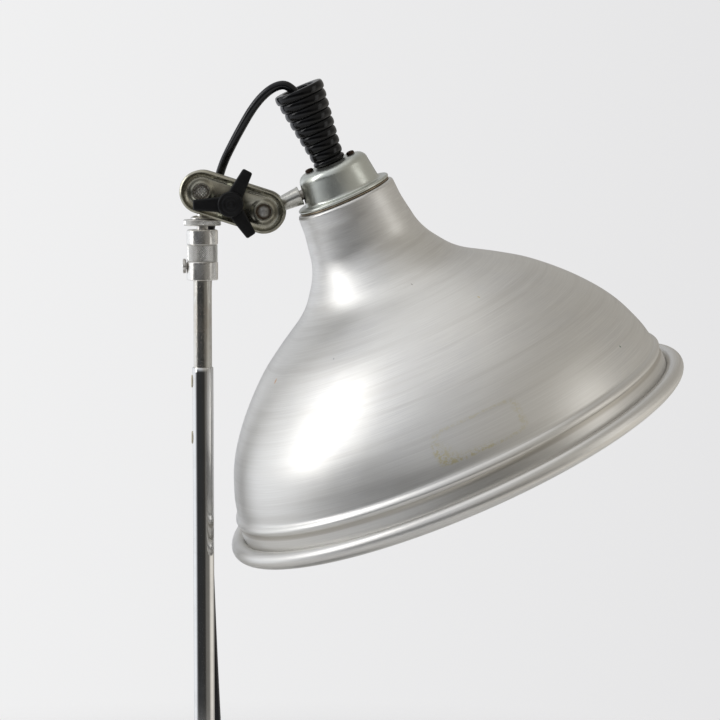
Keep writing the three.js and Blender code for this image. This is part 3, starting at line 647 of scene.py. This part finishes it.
PORCELAIN = moulded("porcelain", HEAD_FRAME, (0.8, 0.78, 0.72), (0.7, 0.67, 0.6), 0.18, 0.8, 0.02, 0.5)
OPAL = moulded("opal_glass", HEAD_FRAME, (0.86, 0.85, 0.81), (0.8, 0.79, 0.75), 0.14, 1.2, 0.01, 0.6)
PAINT = moulded("base_paint", STAND_FRAME, (0.2, 0.2, 0.19), (0.26, 0.26, 0.25), 0.3, 1.4, 0.12, 0.3)
FELT = moulded("felt", STAND_FRAME, (0.02, 0.035, 0.027), (0.035, 0.045, 0.037), 0.9, 0.2, 0.2)

# -------- shade

SHADE_WALL = 1.2
BELL = [
    (35, -26.2), (36.8, -37.2), (38.6, -46.2), (42.4, -55.2), (48, -63.7), (54, -71.2), (61.6, -77.7),
    (72, -84.2), (82.4, -90.7), (98.9, -102.2), (116.6, -118.4), (131.3, -135.2), (141.9, -151.2),
    (149.7, -169.6), (152.6, -180.8),
]


def shade():
    shoulder = arc(34.3 - 2.2, -14.7, 2.2, 90, 10, 5)
    bell = through([shoulder[-1], (34.6, -20), *BELL], 5)[1:]
    bead = through([(153.2, -182.6), (154.7, -184), (155.6, -185.6), (155.5, -187.2), (154.9, -188.8)], 3)
    skirt = through([(155, -191), (155.5, -197), (155.65, -202.2)], 3)
    roll = arc(160.3, -203.4, 4.6, 192, 503, 26)
    line = [(21.8, -12.5), (27, -12.5), *shoulder, *bell, *bead, *skirt, *roll]
    piece = spun("shade_spun", shell(line[::-1], SHADE_WALL), 160)
    uv = piece.data.uv_layers.new(name="around")
    for polygon in piece.data.polygons:
        middle = math.atan2(polygon.center.y, polygon.center.x)
        for loop in polygon.loop_indices:
            x, y, z = piece.data.vertices[piece.data.loops[loop].vertex_index].co
            angle = math.atan2(y, x)
            angle += TURN * round((middle - angle) / TURN)
            uv.data[loop].uv = (angle / TURN + 0.5, z + math.hypot(x, y))
    finish_piece(piece, HEAD_FRAME, "head", ALUMINIUM, "spun_aluminium", "shade", angle=50)


shade()

# -------- cap, neck and handle


def cap():
    line = [
        (30.4, -11.2), *arc(31.3, -10.1, 1.1, -75, 85, 9), (29.4, -8.95), (27.6, -8.8), (26.8, -8.4),
        (26.35, -7.7), (26.1, -6.6), (24.4, 5.9), *arc(18.4, 5.9, 6, 8, 90, 8), (14, 11.9), (5.6, 11.9),
        (5.6, 10.7), (14, 10.7), *arc(18.4, 5.9, 4.8, 90, 8, 6), (23.2, 5.8), (24.9, -7.2), (25.5, -9.3),
        (26.8, -10.1), (29.8, -10.2),
    ]
    piece = spun("cap_pressed", line, 112)
    carve(piece, settle(cylinder("stem_hole", 40, 4, 22), shift(-26, 0, 0) @ ALONG_X))
    finish_piece(piece, HEAD_FRAME, "head", ZINC, "zinc_plate", "cap")


def neck_ring():
    """The bead under the cap, brown with tarnish."""
    line = [(22, -12.2), (31.3, -12.2), *arc(31.4, -11.8, 0.5, -50, 50, 5), (22, -11.4)]
    piece = spun("neck_bead", line, 96)
    finish_piece(piece, HEAD_FRAME, "head", TARNISHED, "worn_chrome", "neck_ring")


def cap_screw(name, node, side):
    """A slotted screw that sits on the cap's flat top."""
    under = 12.2
    profile = [
        (0, under - 7), (1.8, under - 7), (1.8, under), (2.8, under), (2.8, under + 1.1),
        (2.5, under + 1.7), (1.6, under + 2.1), (0, under + 2.3),
    ]
    piece = spun(name, profile, 32)
    carve(piece, box("slot", 8, 0.7, 1.8, shift(0, 0, under + 2.2)))
    place = HEAD_FRAME @ shift(side * 14.9, 0, 0) @ Matrix.Rotation(0.6 * side, 4, "Z")
    finish_piece(piece, place, "head", SCREW_RUST, "rusty_steel", node)


def handle():
    """Round ribs that grow towards the top, and a bell mouth for the lead."""
    bottom, top, ribs = 12.3, 66.6, 8
    foot = bottom + 4.2
    pitch = (top - foot) / ribs
    line = [(6, bottom), (9.8, bottom), *arc(9.3, bottom + 2, 1.7, -50, 50, 6), (9.7, foot - 0.3)]
    for i in range(ribs):
        radius = 11.2 + (17.1 - 11.2) * i / (ribs - 1)
        middle = foot + pitch * (i + 0.5)
        half = pitch * 0.485
        for k in range(9):
            angle = math.radians(-80 + 160 * k / 8)
            line.append((radius - 1.5 + 1.5 * math.cos(angle) ** 0.8, middle + half * math.sin(angle)))
    line += [(14.6, top - 0.1), (12.2, top - 0.2), *arc(12.2, top - 1.4, 1.2, 95, 175, 4)]
    line += through([(9.6, top - 5), (8.2, top - 12), (6.4, top - 20), (4.4, top - 30)], 4)
    line += [(4.4, 26), (5.3, 25), (5.3, bottom)]
    piece = spun("handle_ribbed", line[1:], 96)
    finish_piece(piece, HEAD_FRAME, "head", RUBBER, "black_rubber", "handle", angle=60)


cap()
neck_ring()
cap_screw("screw_left", "cap_screw_left", -1)
cap_screw("screw_right", "cap_screw_right", 1)
handle()

# -------- clamp


def stem():
    """The lamp ball and its tapered stem, with a shoulder against the cap."""
    shoulder = STEM_REACH - 26.1 - 0.7
    ball = arc(0, 0, BALL_RADIUS, -90, 54, 28)
    ball[0] = (0, -BALL_RADIUS)
    taper = [(4.5, 7.2), (4.5, 9), (4.7, 10), (6.2, shoulder - 1.6), (6.45, shoulder - 0.9)]
    shank = [(6.45, shoulder), (3.4, shoulder), (3.4, shoulder + 12), (0, shoulder + 12)]
    piece = spun("ball_and_stem", [*ball, *taper, *shank], 64)
    finish_piece(piece, ARM_FRAME @ ALONG_X, "arm", STEM_METAL, "clamp_steel", "lamp_ball")
    paint_ball(piece, ARM_FRAME.translation, BALL_RADIUS + 0.4, BALL_METAL)


def stadium(name, radius, near, far):
    """A link with round ends in XZ, from y = near to y = far, made from a stretched disc."""
    piece = cylinder(name, 96, radius, far - near)
    settle(piece, shift(0, (near + far) / 2, 0) @ TOWARDS_FRONT)
    pick(piece, "vertices", lambda v: v.co.x > 1e-6)
    bpy.ops.transform.translate(value=(LINK_LENGTH * MM, 0, 0))
    leave()
    return piece


def clamp_plate(name, node, side):
    """A dished pressing: a raised border, and a raised ring round each ball's hole."""
    face, floor, flange = 6.4, 1.6, 12
    piece = stadium(name, 14.6, 1.1 - flange, -face)
    pick(piece, "polygons", lambda p: p.normal.y < -0.9)
    last_step = -(flange - face - floor - 2.8)
    border = ((1.2, 1.1), (0.35, 0), (0.7, -1.3), (1.0, -1.5), (1.8, last_step))
    for thickness, depth in border:
        bpy.ops.mesh.inset(thickness=thickness * MM, depth=depth * MM)
    leave()
    rings = []
    for x in (0, LINK_LENGTH):
        flare = [(0, 7), (9.9, 7), (9.5, 7.9), (8.6, 8.35), (7.5, 8.95), (6.6, 9.6), (6.1, 9.75), (0, 9.75)]
        rings.append(settle(spun("ring", flare, 64), shift(x, 0, 0) @ TOWARDS_FRONT))
    carve(piece, *rings, operation="UNION")
    holes = []
    for x, z, radius in ((0, 0, 5.3), (BOLT_X, BOLT_Z, 3.4), (LINK_LENGTH, 0, 5.3)):
        holes.append(settle(cylinder("hole", 64, radius, 20), shift(x, -10, z) @ TOWARDS_FRONT))
    carve(piece, *holes)
    rounded(piece, 0.4, 3, 30)
    if side > 0:
        only(piece)
        piece.scale = (1, -1, 1)
        bpy.ops.object.transform_apply(location=False, rotation=False, scale=True)
        edit("FACE")
        bpy.ops.mesh.normals_make_consistent(inside=False)
        leave()
    finish_piece(piece, LINK_FRAME, "link", CLAMP_STEEL, "clamp_steel", node)


def clamp_bolt():
    """Domed head behind, shank through both plates and into the knob."""
    back = 8.3
    shank = [(0, -18.4), (3, -18.4), (3, back)]
    head = [(6.5, back), (6.5, back + 1.6), (5.6, back + 2.7), (3.4, back + 3.3), (0, back + 3.4)]
    piece = spun("bolt", [*shank, *head], 48)
    place = KNOB_FRAME @ rotated(-90, "X")
    finish_piece(piece, place, "link", ZINC, "zinc_plate", "clamp_bolt")


def wing_knob():
    """A hub with turned rings on its face, and three blunt arms."""
    hub = [
        (0, 13.1), (8, 13.1), (8.6, 13.6), (8.6, 19.2), (8.1, 19.9), (7.4, 20.15), (6.7, 20.1), (6.3, 19.85),
        (5.9, 19.85), (5.5, 20.15), (4.6, 20.3), (3.8, 20.25), (3.4, 20.0), (3.0, 20.0), (2.6, 20.3),
        (1.4, 20.35), (1.0, 20.1), (0, 20.05),
    ]
    piece = spun("knob", hub, 72)
    for angle in (62.7, 181, 303.5):
        blade = box("arm", 24.9, 11.6, 5.2, shift(12.65, 0, 15.8))
        pick(blade, "vertices", lambda v: v.co.x > 20 * MM)
        bpy.ops.transform.resize(value=(1, 0.6, 0.62), center_override=(0.0251, 0, 0.0157))
        leave()
        rounded(blade, 1.3, 5, 40)
        settle(blade, rotated(angle, "Z"))
        carve(piece, blade, operation="UNION")
    carve(piece, settle(cylinder("bore", 48, 3.12, 12), shift(0, 0, 12.7)))
    upright = Matrix.Translation(KNOB_FRAME.translation) @ TOWARDS_FRONT
    finish_piece(piece, upright, "knob", PLASTIC, "black_plastic", "wing_knob", angle=40)


stem()
clamp_plate("plate_front", "clamp_plate_front", -1)
clamp_plate("plate_back", "clamp_plate_back", 1)
clamp_bolt()
wing_knob()

# -------- stand adaptor


def diamond_band(name, radius, around, bottom, top, rows):
    """A band of small pyramids, from a ring of square faces split into diamonds."""
    height, depth = top - bottom, 0.5
    piece = cylinder(name, around, radius, height, end_fill_type="NOTHING")
    settle(piece, shift(0, 0, (bottom + top) / 2))
    pick(piece, "edges", lambda e: extent(piece, e, 2) > 1e-5)
    bpy.ops.mesh.subdivide(number_cuts=rows - 1)
    leave()
    corners = len(piece.data.vertices)
    edit("FACE")
    bpy.ops.mesh.poke()
    leave()
    lowest, highest = bottom * MM + 1e-6, top * MM - 1e-6

    def between_corners(e):
        z = piece.data.vertices[e.vertices[0]].co.z
        on_end = extent(piece, e, 2) < 1e-6 and not lowest <= z <= highest
        return max(e.vertices) < corners and not on_end

    pick(piece, "edges", between_corners)
    bpy.ops.mesh.dissolve_edges(use_verts=False)
    bpy.ops.mesh.select_mode(type="FACE")
    bpy.ops.mesh.select_all(action="SELECT")
    bpy.ops.mesh.poke(offset=depth * MM)
    leave()
    return piece


def coupling():
    """Turned body with a diamond-knurled band; the tube enters from below."""
    r = 10.45
    profile = [
        (6.5, -59.2), (9.8, -59.2), (r, -58.7), (r, -47.4), (10.0, -46.9), (9.75, -46.7), (9.75, -35.6),
        (10.0, -35.4), (r, -34.9), (r, -26.1), (9.7, -25.4), (3.95, -25.4), (3.95, -36.4), (6.5, -36.4),
    ]
    piece = spun("coupling_body", profile, 96)
    carve(piece, settle(cylinder("hole", 32, 2.4, 12), shift(-10, 0, -THUMB_SCREW_DROP) @ ALONG_X))
    finish_piece(piece, BALL_FRAME, "swivel", NICKEL, "nickel_plate", "coupling")
    band = diamond_band("coupling_knurl", 9.85, *COUPLING_BAND)
    finish_piece(band, BALL_FRAME, "swivel", COUPLING_KNURL, "nickel_plate", angle=10)


def lock_ring():
    """A thin nut with a knurled edge and a sloping top."""
    profile = [
        (3.9, -22.7), (11.9, -22.7), (12.4, -22.4), (12.2, -22.2), (12.2, -19.2), (12.4, -19.0),
        (12.0, -18.6), (3.9, -18.6),
    ]
    piece = spun("ring_turned", profile, 144)
    finish_piece(piece, BALL_FRAME, "ring", NICKEL, "nickel_plate", "lock_ring")
    band = diamond_band("ring_knurl", 12.2, *RING_BAND)
    finish_piece(band, BALL_FRAME, "ring", RING_KNURL, "nickel_plate", angle=10)


def stand_ball():
    """The ball under the clamp, its collar and its neck."""
    ball = arc(0, 0, BALL_RADIUS, -62, 90, 28)
    ball[-1] = (0, BALL_RADIUS)
    collar = [(8, -18.3), (8, -17.6), (6.4, -16.3), (3.9, -16), (3.75, -15.6), (3.75, -8)]
    neck = [(0, -35), (3.75, -35), (3.75, -18.3)]
    piece = spun("ball_and_neck", [*neck, *collar, *ball], 64)
    finish_piece(piece, BALL_FRAME, "swivel", NICKEL, "nickel_plate", "stand_ball")
    paint_ball(piece, BALL_FRAME.translation, BALL_RADIUS + 0.2, KNURLED_BALL)


def thumb_screw():
    """A small knurled head on the column's left, and its shank."""
    back, steps = 11, 60
    profile = [
        (0, 6.45), (2.2, 6.45), (2.2, back), (4.3, back), (4.6, back + 0.3), (4.6, back + 1.8),
        (4.3, back + 2.1), (3.0, back + 2.1), (2.7, back + 1.8), (0, back + 1.7),
    ]
    piece = spun("screw_thumb", profile, steps)

    def every_other_on_rim(p):
        on_rim = p.center.xy.length > 4.5 * MM and abs(p.normal.z) < 0.1
        step = round(math.atan2(p.center.y, p.center.x) / TURN * steps - 0.5)
        return on_rim and step % 2 == 0

    pick(piece, "polygons", every_other_on_rim)
    bpy.ops.mesh.extrude_region_shrink_fatten(TRANSFORM_OT_shrink_fatten={"value": 0.3 * MM})
    leave()
    place = BALL_FRAME @ shift(0, 0, -THUMB_SCREW_DROP) @ rotated(-90, "Y")
    finish_piece(piece, place, "screw", NICKEL, "nickel_plate", "thumb_screw")


coupling()
lock_ring()
stand_ball()
thumb_screw()

# -------- column and base

PLUG_HEIGHTS = (432, 394)


def outer_tube():
    """Chromed, with a rolled top and a window for each friction plug; the rows keep its faces short there."""
    r, wall, bottom, top = 7, 0.7, 32, 441.5
    rows = [(r, height) for height in (388.5, 399.5, 426.5, 437.5)]
    lip = [(r, top - 0.5), (r - 0.15, top - 0.12), (r - 0.4, top), (r - wall, top)]
    piece = spun("tube_outer", [(r - wall, bottom), (r, bottom), *rows, *lip], 72)
    for height in PLUG_HEIGHTS:
        place = shift(-r, 0, height) @ Matrix.Diagonal((1, 0.004, 0.0091, 1))
        carve(piece, settle(cylinder("window", 32, 500, 6), place @ ALONG_X))
    finish_piece(piece, STAND_FRAME, "stand", CHROME, "chrome", "outer_tube")


def friction_plug(name, node, height):
    """An oval nylon pad that shows in its window."""
    piece = cylinder(name, 40, 500, 1.6)
    settle(piece, shift(-7.1, 0, height) @ Matrix.Diagonal((1, 0.0034, 0.0085, 1)) @ ALONG_X)
    rounded(piece, 0.5, 4, 40)
    finish_piece(piece, STAND_FRAME, "stand", NYLON, "cream_nylon", node)


def inner_tube():
    r, wall, bottom, top = 6.15, 0.8, 250, 521
    piece = spun("tube_inner", [(r - wall, bottom), (r, bottom), (r, 440), (r, top), (r - wall, top)], 72)
    finish_piece(piece, STAND_FRAME, "mast", WORN_CHROME, "worn_chrome", "inner_tube")


def base():
    cover = [
        (120, 1.2), (120, 12), *arc(112, 12, 8, 6, 66, 8), (98, 21.2), (80, 23), (60, 24.6), (40, 25.8),
        (24, 26.6), (13, 27),
    ]
    piece = spun("cover", shell(cover, 1.2), 128)
    finish_piece(piece, STAND_FRAME, "stand", PAINT, "base_paint", "base_cover", angle=50)
    socket_line = [
        (7.12, 27.8), (19, 27.8), (19, 30.2), (18.6, 30.8), (17.8, 31),
        *through([(15, 31), (12.2, 32.6), (11, 37)], 5), (11, 58.2), (10.6, 59.4), (9.6, 60), (7.12, 60),
    ]
    piece = spun("socket_turned", socket_line, 72)
    finish_piece(piece, STAND_FRAME, "stand", CHROME, "chrome", "column_socket")
    pad = [(0, 0), (116, 0), (116, 2.2), (115.7, 2.5), (0, 2.5)]
    finish_piece(spun("pad_felt", pad, 128), STAND_FRAME, "stand", FELT, "felt_pad", "base_pad")


outer_tube()
friction_plug("pad_upper", "friction_plug_upper", PLUG_HEIGHTS[0])
friction_plug("pad_lower", "friction_plug_lower", PLUG_HEIGHTS[1])
inner_tube()
base()

# -------- lampholder and bulb


def bulb():
    start = -50.3
    glass = through([(13, start), (14.2, start - 8), (20, start - 20), (26, start - 31)], 5)
    globe = arc(0, -98, 30, 26, -90, 22)
    globe[-1] = (0, -128)
    piece = spun("glass", [(0, start), *glass, *globe], 72)
    finish_piece(piece, HEAD_FRAME, "bulb", OPAL, "opal_glass", "bulb_glass", angle=60)
    line = [(0, -26.5), (4, -26.5), (9.5, -29.5), (12.6, -30.5)]
    for i in range(5):
        height = -32.5 - 3.2 * i
        line += [(13.2, height), (12.6, height - 1.6)]
    piece = spun("bulb_cap", [*line, (13.2, -49), (12.7, -50), (0, -50)], 48)
    finish_piece(piece, HEAD_FRAME, "bulb", NICKEL, "nickel_plate", "bulb_base")


def lampholder():
    line = [
        (14.6, -47), (19.2, -47), (20, -46.2), (20, -12.2), (21.4, -12.2), (21.4, -11), (20.6, -10),
        (15, -7.5), (5.3, -7.5), (5.3, -17.5), (14.6, -17.5),
    ]
    finish_piece(spun("holder", line, 72), HEAD_FRAME, "head", PORCELAIN, "porcelain", "lampholder")
    top = -14
    line = [(20.6, top - 5), (23.6, top - 5), (24, top - 4.6), (27, top - 1.6), (27, top), (20.6, top)]
    finish_piece(spun("ring_inside", line, 72), HEAD_FRAME, "head", BRASS, "brass", "shade_ring")


bulb()
lampholder()

# -------- mains lead

LEAD_RADIUS = 3
LOOP = [(74.7, -4, 604), (71.4, -4.9, 611.6), (67.2, -5.7, 619.4), (61.9, -6.2, 626.2), (55.6, -6.3, 630.2)]
OVER = [(48.4, -5.8, 628.6), (40.8, -4.2, 622.8), (33.6, -1.6, 614), (26.6, 2.4, 602.6), (19.8, 7.6, 590.4)]
BEHIND = [(14.2, 13, 579.2), (10.6, 16.8, 568.6), (8.6, 17.8, 557), (6.4, 18, 546)]
BESIDE = [(4.6, 17.6, 534), (3.4, 16.8, 519), (2.6, 16.0, 501), (2.0, 15.4, 482)]
DOWN = [
    (1.6, 15, 458), (1.4, 15, 415), (1.6, 15, 370), (2.4, 15.4, 325), (3.8, 16.4, 280), (5.4, 18, 236),
    (7.2, 20.6, 192), (8.8, 24.6, 150), (9.8, 31, 110), (10.2, 42, 74), (10.2, 58, 47), (10, 78, 33.6),
    (9.6, 98, 28.4), (9, 115, 25), (8.6, 127, 17.4), (8.2, 137, 9.4), (7.7, 146.4, 4.8),
]
TAIL = [
    (-66.5, 190, 17.6), (-69, 178, 17.7), (-67.2, 168.8, 18.2), (-62, 161, 19.2), (-54.2, 155.8, 20.6),
    (-45.9, 154, 21.4),
]
COIL_CENTRE = (-36, 172)
# the winding's turning points: degrees, radius and height
COIL = [
    (-19.7, 45.8, 4.6), (25, 39.6, 4.6), (793, 26.7, 4.6), (860, 26.7, 10.7), (1500, 37.8, 10.7),
    (1540, 38.2, 10.9), (1565, 37.8, 14.2),
]


def coil_points():
    """The wound length: in along the lower layer, up, out along the upper layer."""
    points = []
    x, y = COIL_CENTRE
    for (a0, r0, z0), (a1, r1, z1) in zip(COIL, COIL[1:]):
        steps = max(2, round((a1 - a0) / 15))
        for i in range(steps):
            t = i / steps
            ease = t * t * (3 - 2 * t) if a1 - a0 < 90 else t
            angle = math.radians(a0 + (a1 - a0) * t)
            r, z = r0 + (r1 - r0) * ease, z0 + (z1 - z0) * ease
            points.append((x + r * math.cos(angle), y + r * math.sin(angle), z))
    return points


def rings_along(line, radius, sides):
    """Rings of points round a line, turned as little as possible from each to the next."""
    rings = []
    across = Vector((0, 1, 0))
    for i, point in enumerate(line):
        ahead = (line[min(i + 1, len(line) - 1)] - line[max(i - 1, 0)]).normalized()
        across = (across - ahead * across.dot(ahead)).normalized()
        side = ahead.cross(across)
        angles = [TURN * k / sides for k in range(sides)]
        rings.append([point + radius * (math.cos(a) * across + math.sin(a) * side) for a in angles])
    return rings


def tube(name, rings):
    """A closed skin over rings of points, in the lead's look."""
    sides = len(rings[0])
    verts = [p for ring in rings for p in ring]
    faces = []
    for i in range(len(rings) - 1):
        for k in range(sides):
            a, b = i * sides + k, i * sides + (k + 1) % sides
            faces.append((a, b, b + sides, a + sides))
    faces.append(tuple(reversed(range(sides))))
    faces.append(tuple(range(len(verts) - sides, len(verts))))
    mesh = bpy.data.meshes.new(name)
    mesh.from_pydata(verts, [], faces)
    piece = bpy.data.objects.new(name, mesh)
    bpy.context.scene.collection.objects.link(piece)
    smoothed(piece, 50)
    mesh.materials.append(PVC)
    return piece


LEAD_STEPS = 5
LEAD_SIDES = 20
route = [*LOOP, *OVER, *BEHIND, *BESIDE, *DOWN, *coil_points(), *TAIL]
line = [Vector(p) * MM for p in through(route, LEAD_STEPS)]
rings = rings_along(line, LEAD_RADIUS * MM, LEAD_SIDES)
stretches = {}
start = 0
for name, part in (("loop", LOOP), ("over", OVER), ("behind", BEHIND), ("beside", BESIDE), ("down", None)):
    end = start + len(part) * LEAD_STEPS if part else len(line) - 1
    stretches[name] = (tube(f"cord_{name}", rings[start : end + 1]), line[start : end + 1])
    start = end


def lay_lead(name, replaced):
    """Bakes a stretch of the lead's place into its mesh, and hides the CAD nodes it stands for."""
    piece, points = stretches[name]
    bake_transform(piece)
    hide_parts(*replaced)


def coil_tie():
    """A strap closed round the coil's turns."""
    x, y = COIL_CENTRE
    piece = box("strap", 7, 22.2, 15.4, shift(x, y + 33, 7.9))
    pick(piece, "polygons", lambda p: abs(p.normal.x) > 0.9)
    bpy.ops.mesh.inset(thickness=1.0 * MM)
    bpy.ops.mesh.bridge_edge_loops()
    tidy_mesh()
    leave()
    rounded(piece, 0.35, 2)
    finish_piece(piece, STAND_FRAME, "stand", PLASTIC, "black_plastic", "coil_tie")


def plug():
    """A flat two-pin plug that lies on the coil."""
    x, y, height, length = -8, 154, 21.4, 34
    body = box("plug_moulding", length, 26, 13.4)
    pick(body, "edges", lambda e: extent(body, e, 0) > 10 * MM)
    bpy.ops.mesh.subdivide(number_cuts=2)
    leave()
    pick(body, "vertices", lambda v: v.co.x < -length / 2 * MM + 1e-5)
    bpy.ops.transform.resize(value=(1, 0.4, 0.82), center_override=(0, 0, 0))
    leave()
    rounded(body, 1.6, 4, 25)
    place = shift(x, y, height)
    finish_piece(body, place, "stand", PLASTIC, "black_plastic", "plug_body")
    sleeve_line = [(0, -37.3), (3.9, -37.3), (4.0, -36.8)]
    for i in range(5):
        h = -36 + 3.6 * i
        r = 4.0 + 0.18 * i
        sleeve_line += [(r, h), (r, h + 2.2), (r - 0.7, h + 2.5), (r - 0.7, h + 3.3)]
    sleeve = spun("plug_collar", [*sleeve_line, (4.9, -18), (4.9, -17.3), (0, -17.3)], 32)
    finish_piece(sleeve, place @ ALONG_X, "stand", RUBBER, "black_rubber", "plug_sleeve")
    for name, node, side in (("pin_left", "plug_pin_left", -1), ("pin_right", "plug_pin_right", 1)):
        pin = spun(name, [(0, 17.3), (2, 17.3), (2, 34.6), (1.7, 35.6), (1.0, 36.1), (0, 36.1)], 24)
        spot = place @ shift(0, side * 9.3, 0) @ ALONG_X
        finish_piece(pin, spot, "stand", BRASS, "brass", node)


coil_tie()
plug()
lay_lead("loop", ["lead_loop"])
lay_lead("over", ["lead_over"])
lay_lead("behind", ["lead_behind"])
lay_lead("beside", ["lead_beside"])
lay_lead(
    "down",
    ["lead_down", "lead_coil", "lead_tail"],
)

# -------- the solids that stay

KEPT = {
    "base_weight": IRON,
    "column_stud": RUST,
    "column_nut": ZINC,
    "column_washer": ZINC,
    "clamp_washer": ZINC,
    "stem_nut": ZINC,
    "holder_bridge": ZINC,
    "nipple": BRASS,
    "socket_shell": BRASS,
    "centre_contact": BRASS,
    "inner_lead": PVC,
}
for name, look in KEPT.items():
    nodes[name].data.materials.clear()
    nodes[name].data.materials.append(look)

# -------- floor and light


FLOOR_RADIUS = 1.1
LIGHT_TARGET = (0.12, 0, 0.45)


def add_floor():
    """A pale disc that fades into the plain surroundings."""
    disc = {"vertices": 96, "radius": FLOOR_RADIUS, "fill_type": "NGON"}
    floor = begin("floor", bpy.ops.mesh.primitive_circle_add, **disc)
    look = bpy.data.materials.new("pale_floor")
    look.use_nodes = True
    look.node_tree.nodes.clear()
    n = Nodes(look.node_tree)
    place = n.add("ShaderNodeTexCoord").outputs["Object"]
    away = n.vector("LENGTH", place)
    paper = {"Base Color": (0.72, 0.72, 0.72), "Roughness": 0.9, "Specular IOR Level": 0.2}
    paper |= {"Emission Color": (1, 1, 1), "Emission Strength": 0.06}
    there = n.ramp(away, FLOOR_RADIUS - 0.05, FLOOR_RADIUS / 2)
    shader = n.add("ShaderNodeBsdfPrincipled", {**paper, "Alpha": there})
    n.add("ShaderNodeOutputMaterial", {"Surface": shader.outputs[0]})
    floor.data.materials.append(look)


def add_light(name, place, size, power):
    """A soft box, turned to the lamp."""
    data = bpy.data.lights.new(name, "AREA")
    data.shape = "RECTANGLE"
    data.size, data.size_y = size
    data.energy = power
    aim(name, data, place, LIGHT_TARGET)


# what stands round the lamp at its own height: degrees from the front towards the right, and brightness
AROUND = [
    (-180, 0.12), (-167, 0.15), (-157, 0.9), (-132, 1.2), (-94, 1.15), (-78, 0.3), (-66, 0.04), (16, 0.04),
    (30, 0.17), (62, 0.2), (74, 0.5), (84, 0.85), (112, 0.95), (135, 0.5), (154, 0.42), (164, 0.15),
    (180, 0.12),
]


def add_world():
    """Plain and pale where it is seen; a studio with a bright left side and a dark front in reflections."""
    world = bpy.data.worlds.new("studio")
    bpy.context.scene.world = world
    world.use_nodes = True
    n = Nodes(world.node_tree)
    world.node_tree.nodes.clear()
    x, y, z = n.separate(n.add("ShaderNodeTexCoord").outputs["Generated"])
    turn = n.math("ARCTAN2", x, n.times(y, -1.0))
    across = n.plus(n.math("DIVIDE", turn, TURN), 0.5)
    band = n.add("ShaderNodeValToRGB", {"Fac": across})
    ramp = band.color_ramp
    for i, (degrees, bright) in enumerate(AROUND):
        spot = degrees / 360 + 0.5
        element = ramp.elements[i] if i < 2 else ramp.elements.new(spot)
        element.position = spot
        element.color = (bright, bright, bright, 1)
    away = n.times(x, -1.0)
    high = n.plus(0.46, n.times(n.ramp(away, -0.4, 0.8), 0.34))
    high = n.plus(high, n.times(n.ramp(z, -0.1, -0.45), 0.4))
    off_level = n.ramp(n.math("ABSOLUTE", n.plus(z, 0.09)), 0.1, 0.38)
    tint = n.mix(n.ramp(x, -0.6, 0.6), (0.95, 0.98, 1.04), (1.04, 1.0, 0.93))
    strength = n.blend(off_level, band.outputs[0], high)
    soft = n.add("ShaderNodeBackground", {"Color": tint, "Strength": strength})
    paper = n.mix(n.ramp(x, -0.13, 0.13, False), (0.872, 0.872, 0.876), (0.79, 0.788, 0.795))
    plain = n.add("ShaderNodeBackground", {"Color": paper, "Strength": 1.0})
    seen = n.add("ShaderNodeLightPath").outputs["Is Camera Ray"]
    both = n.add("ShaderNodeMixShader", {0: seen, 1: soft.outputs[0], 2: plain.outputs[0]})
    n.add("ShaderNodeOutputWorld", {0: both.outputs[0]})


add_floor()
add_world()
bpy.context.scene.view_settings.view_transform = "Standard"
add_light("key", (-1.38, -0.25, 1.05), (0.6, 1.3), 8)
add_light("side", (1.6, -0.5, 0.9), (0.6, 1.4), 2.5)
add_light("top", (-0.3, -0.1, 2.2), (1.8, 1.6), 3)
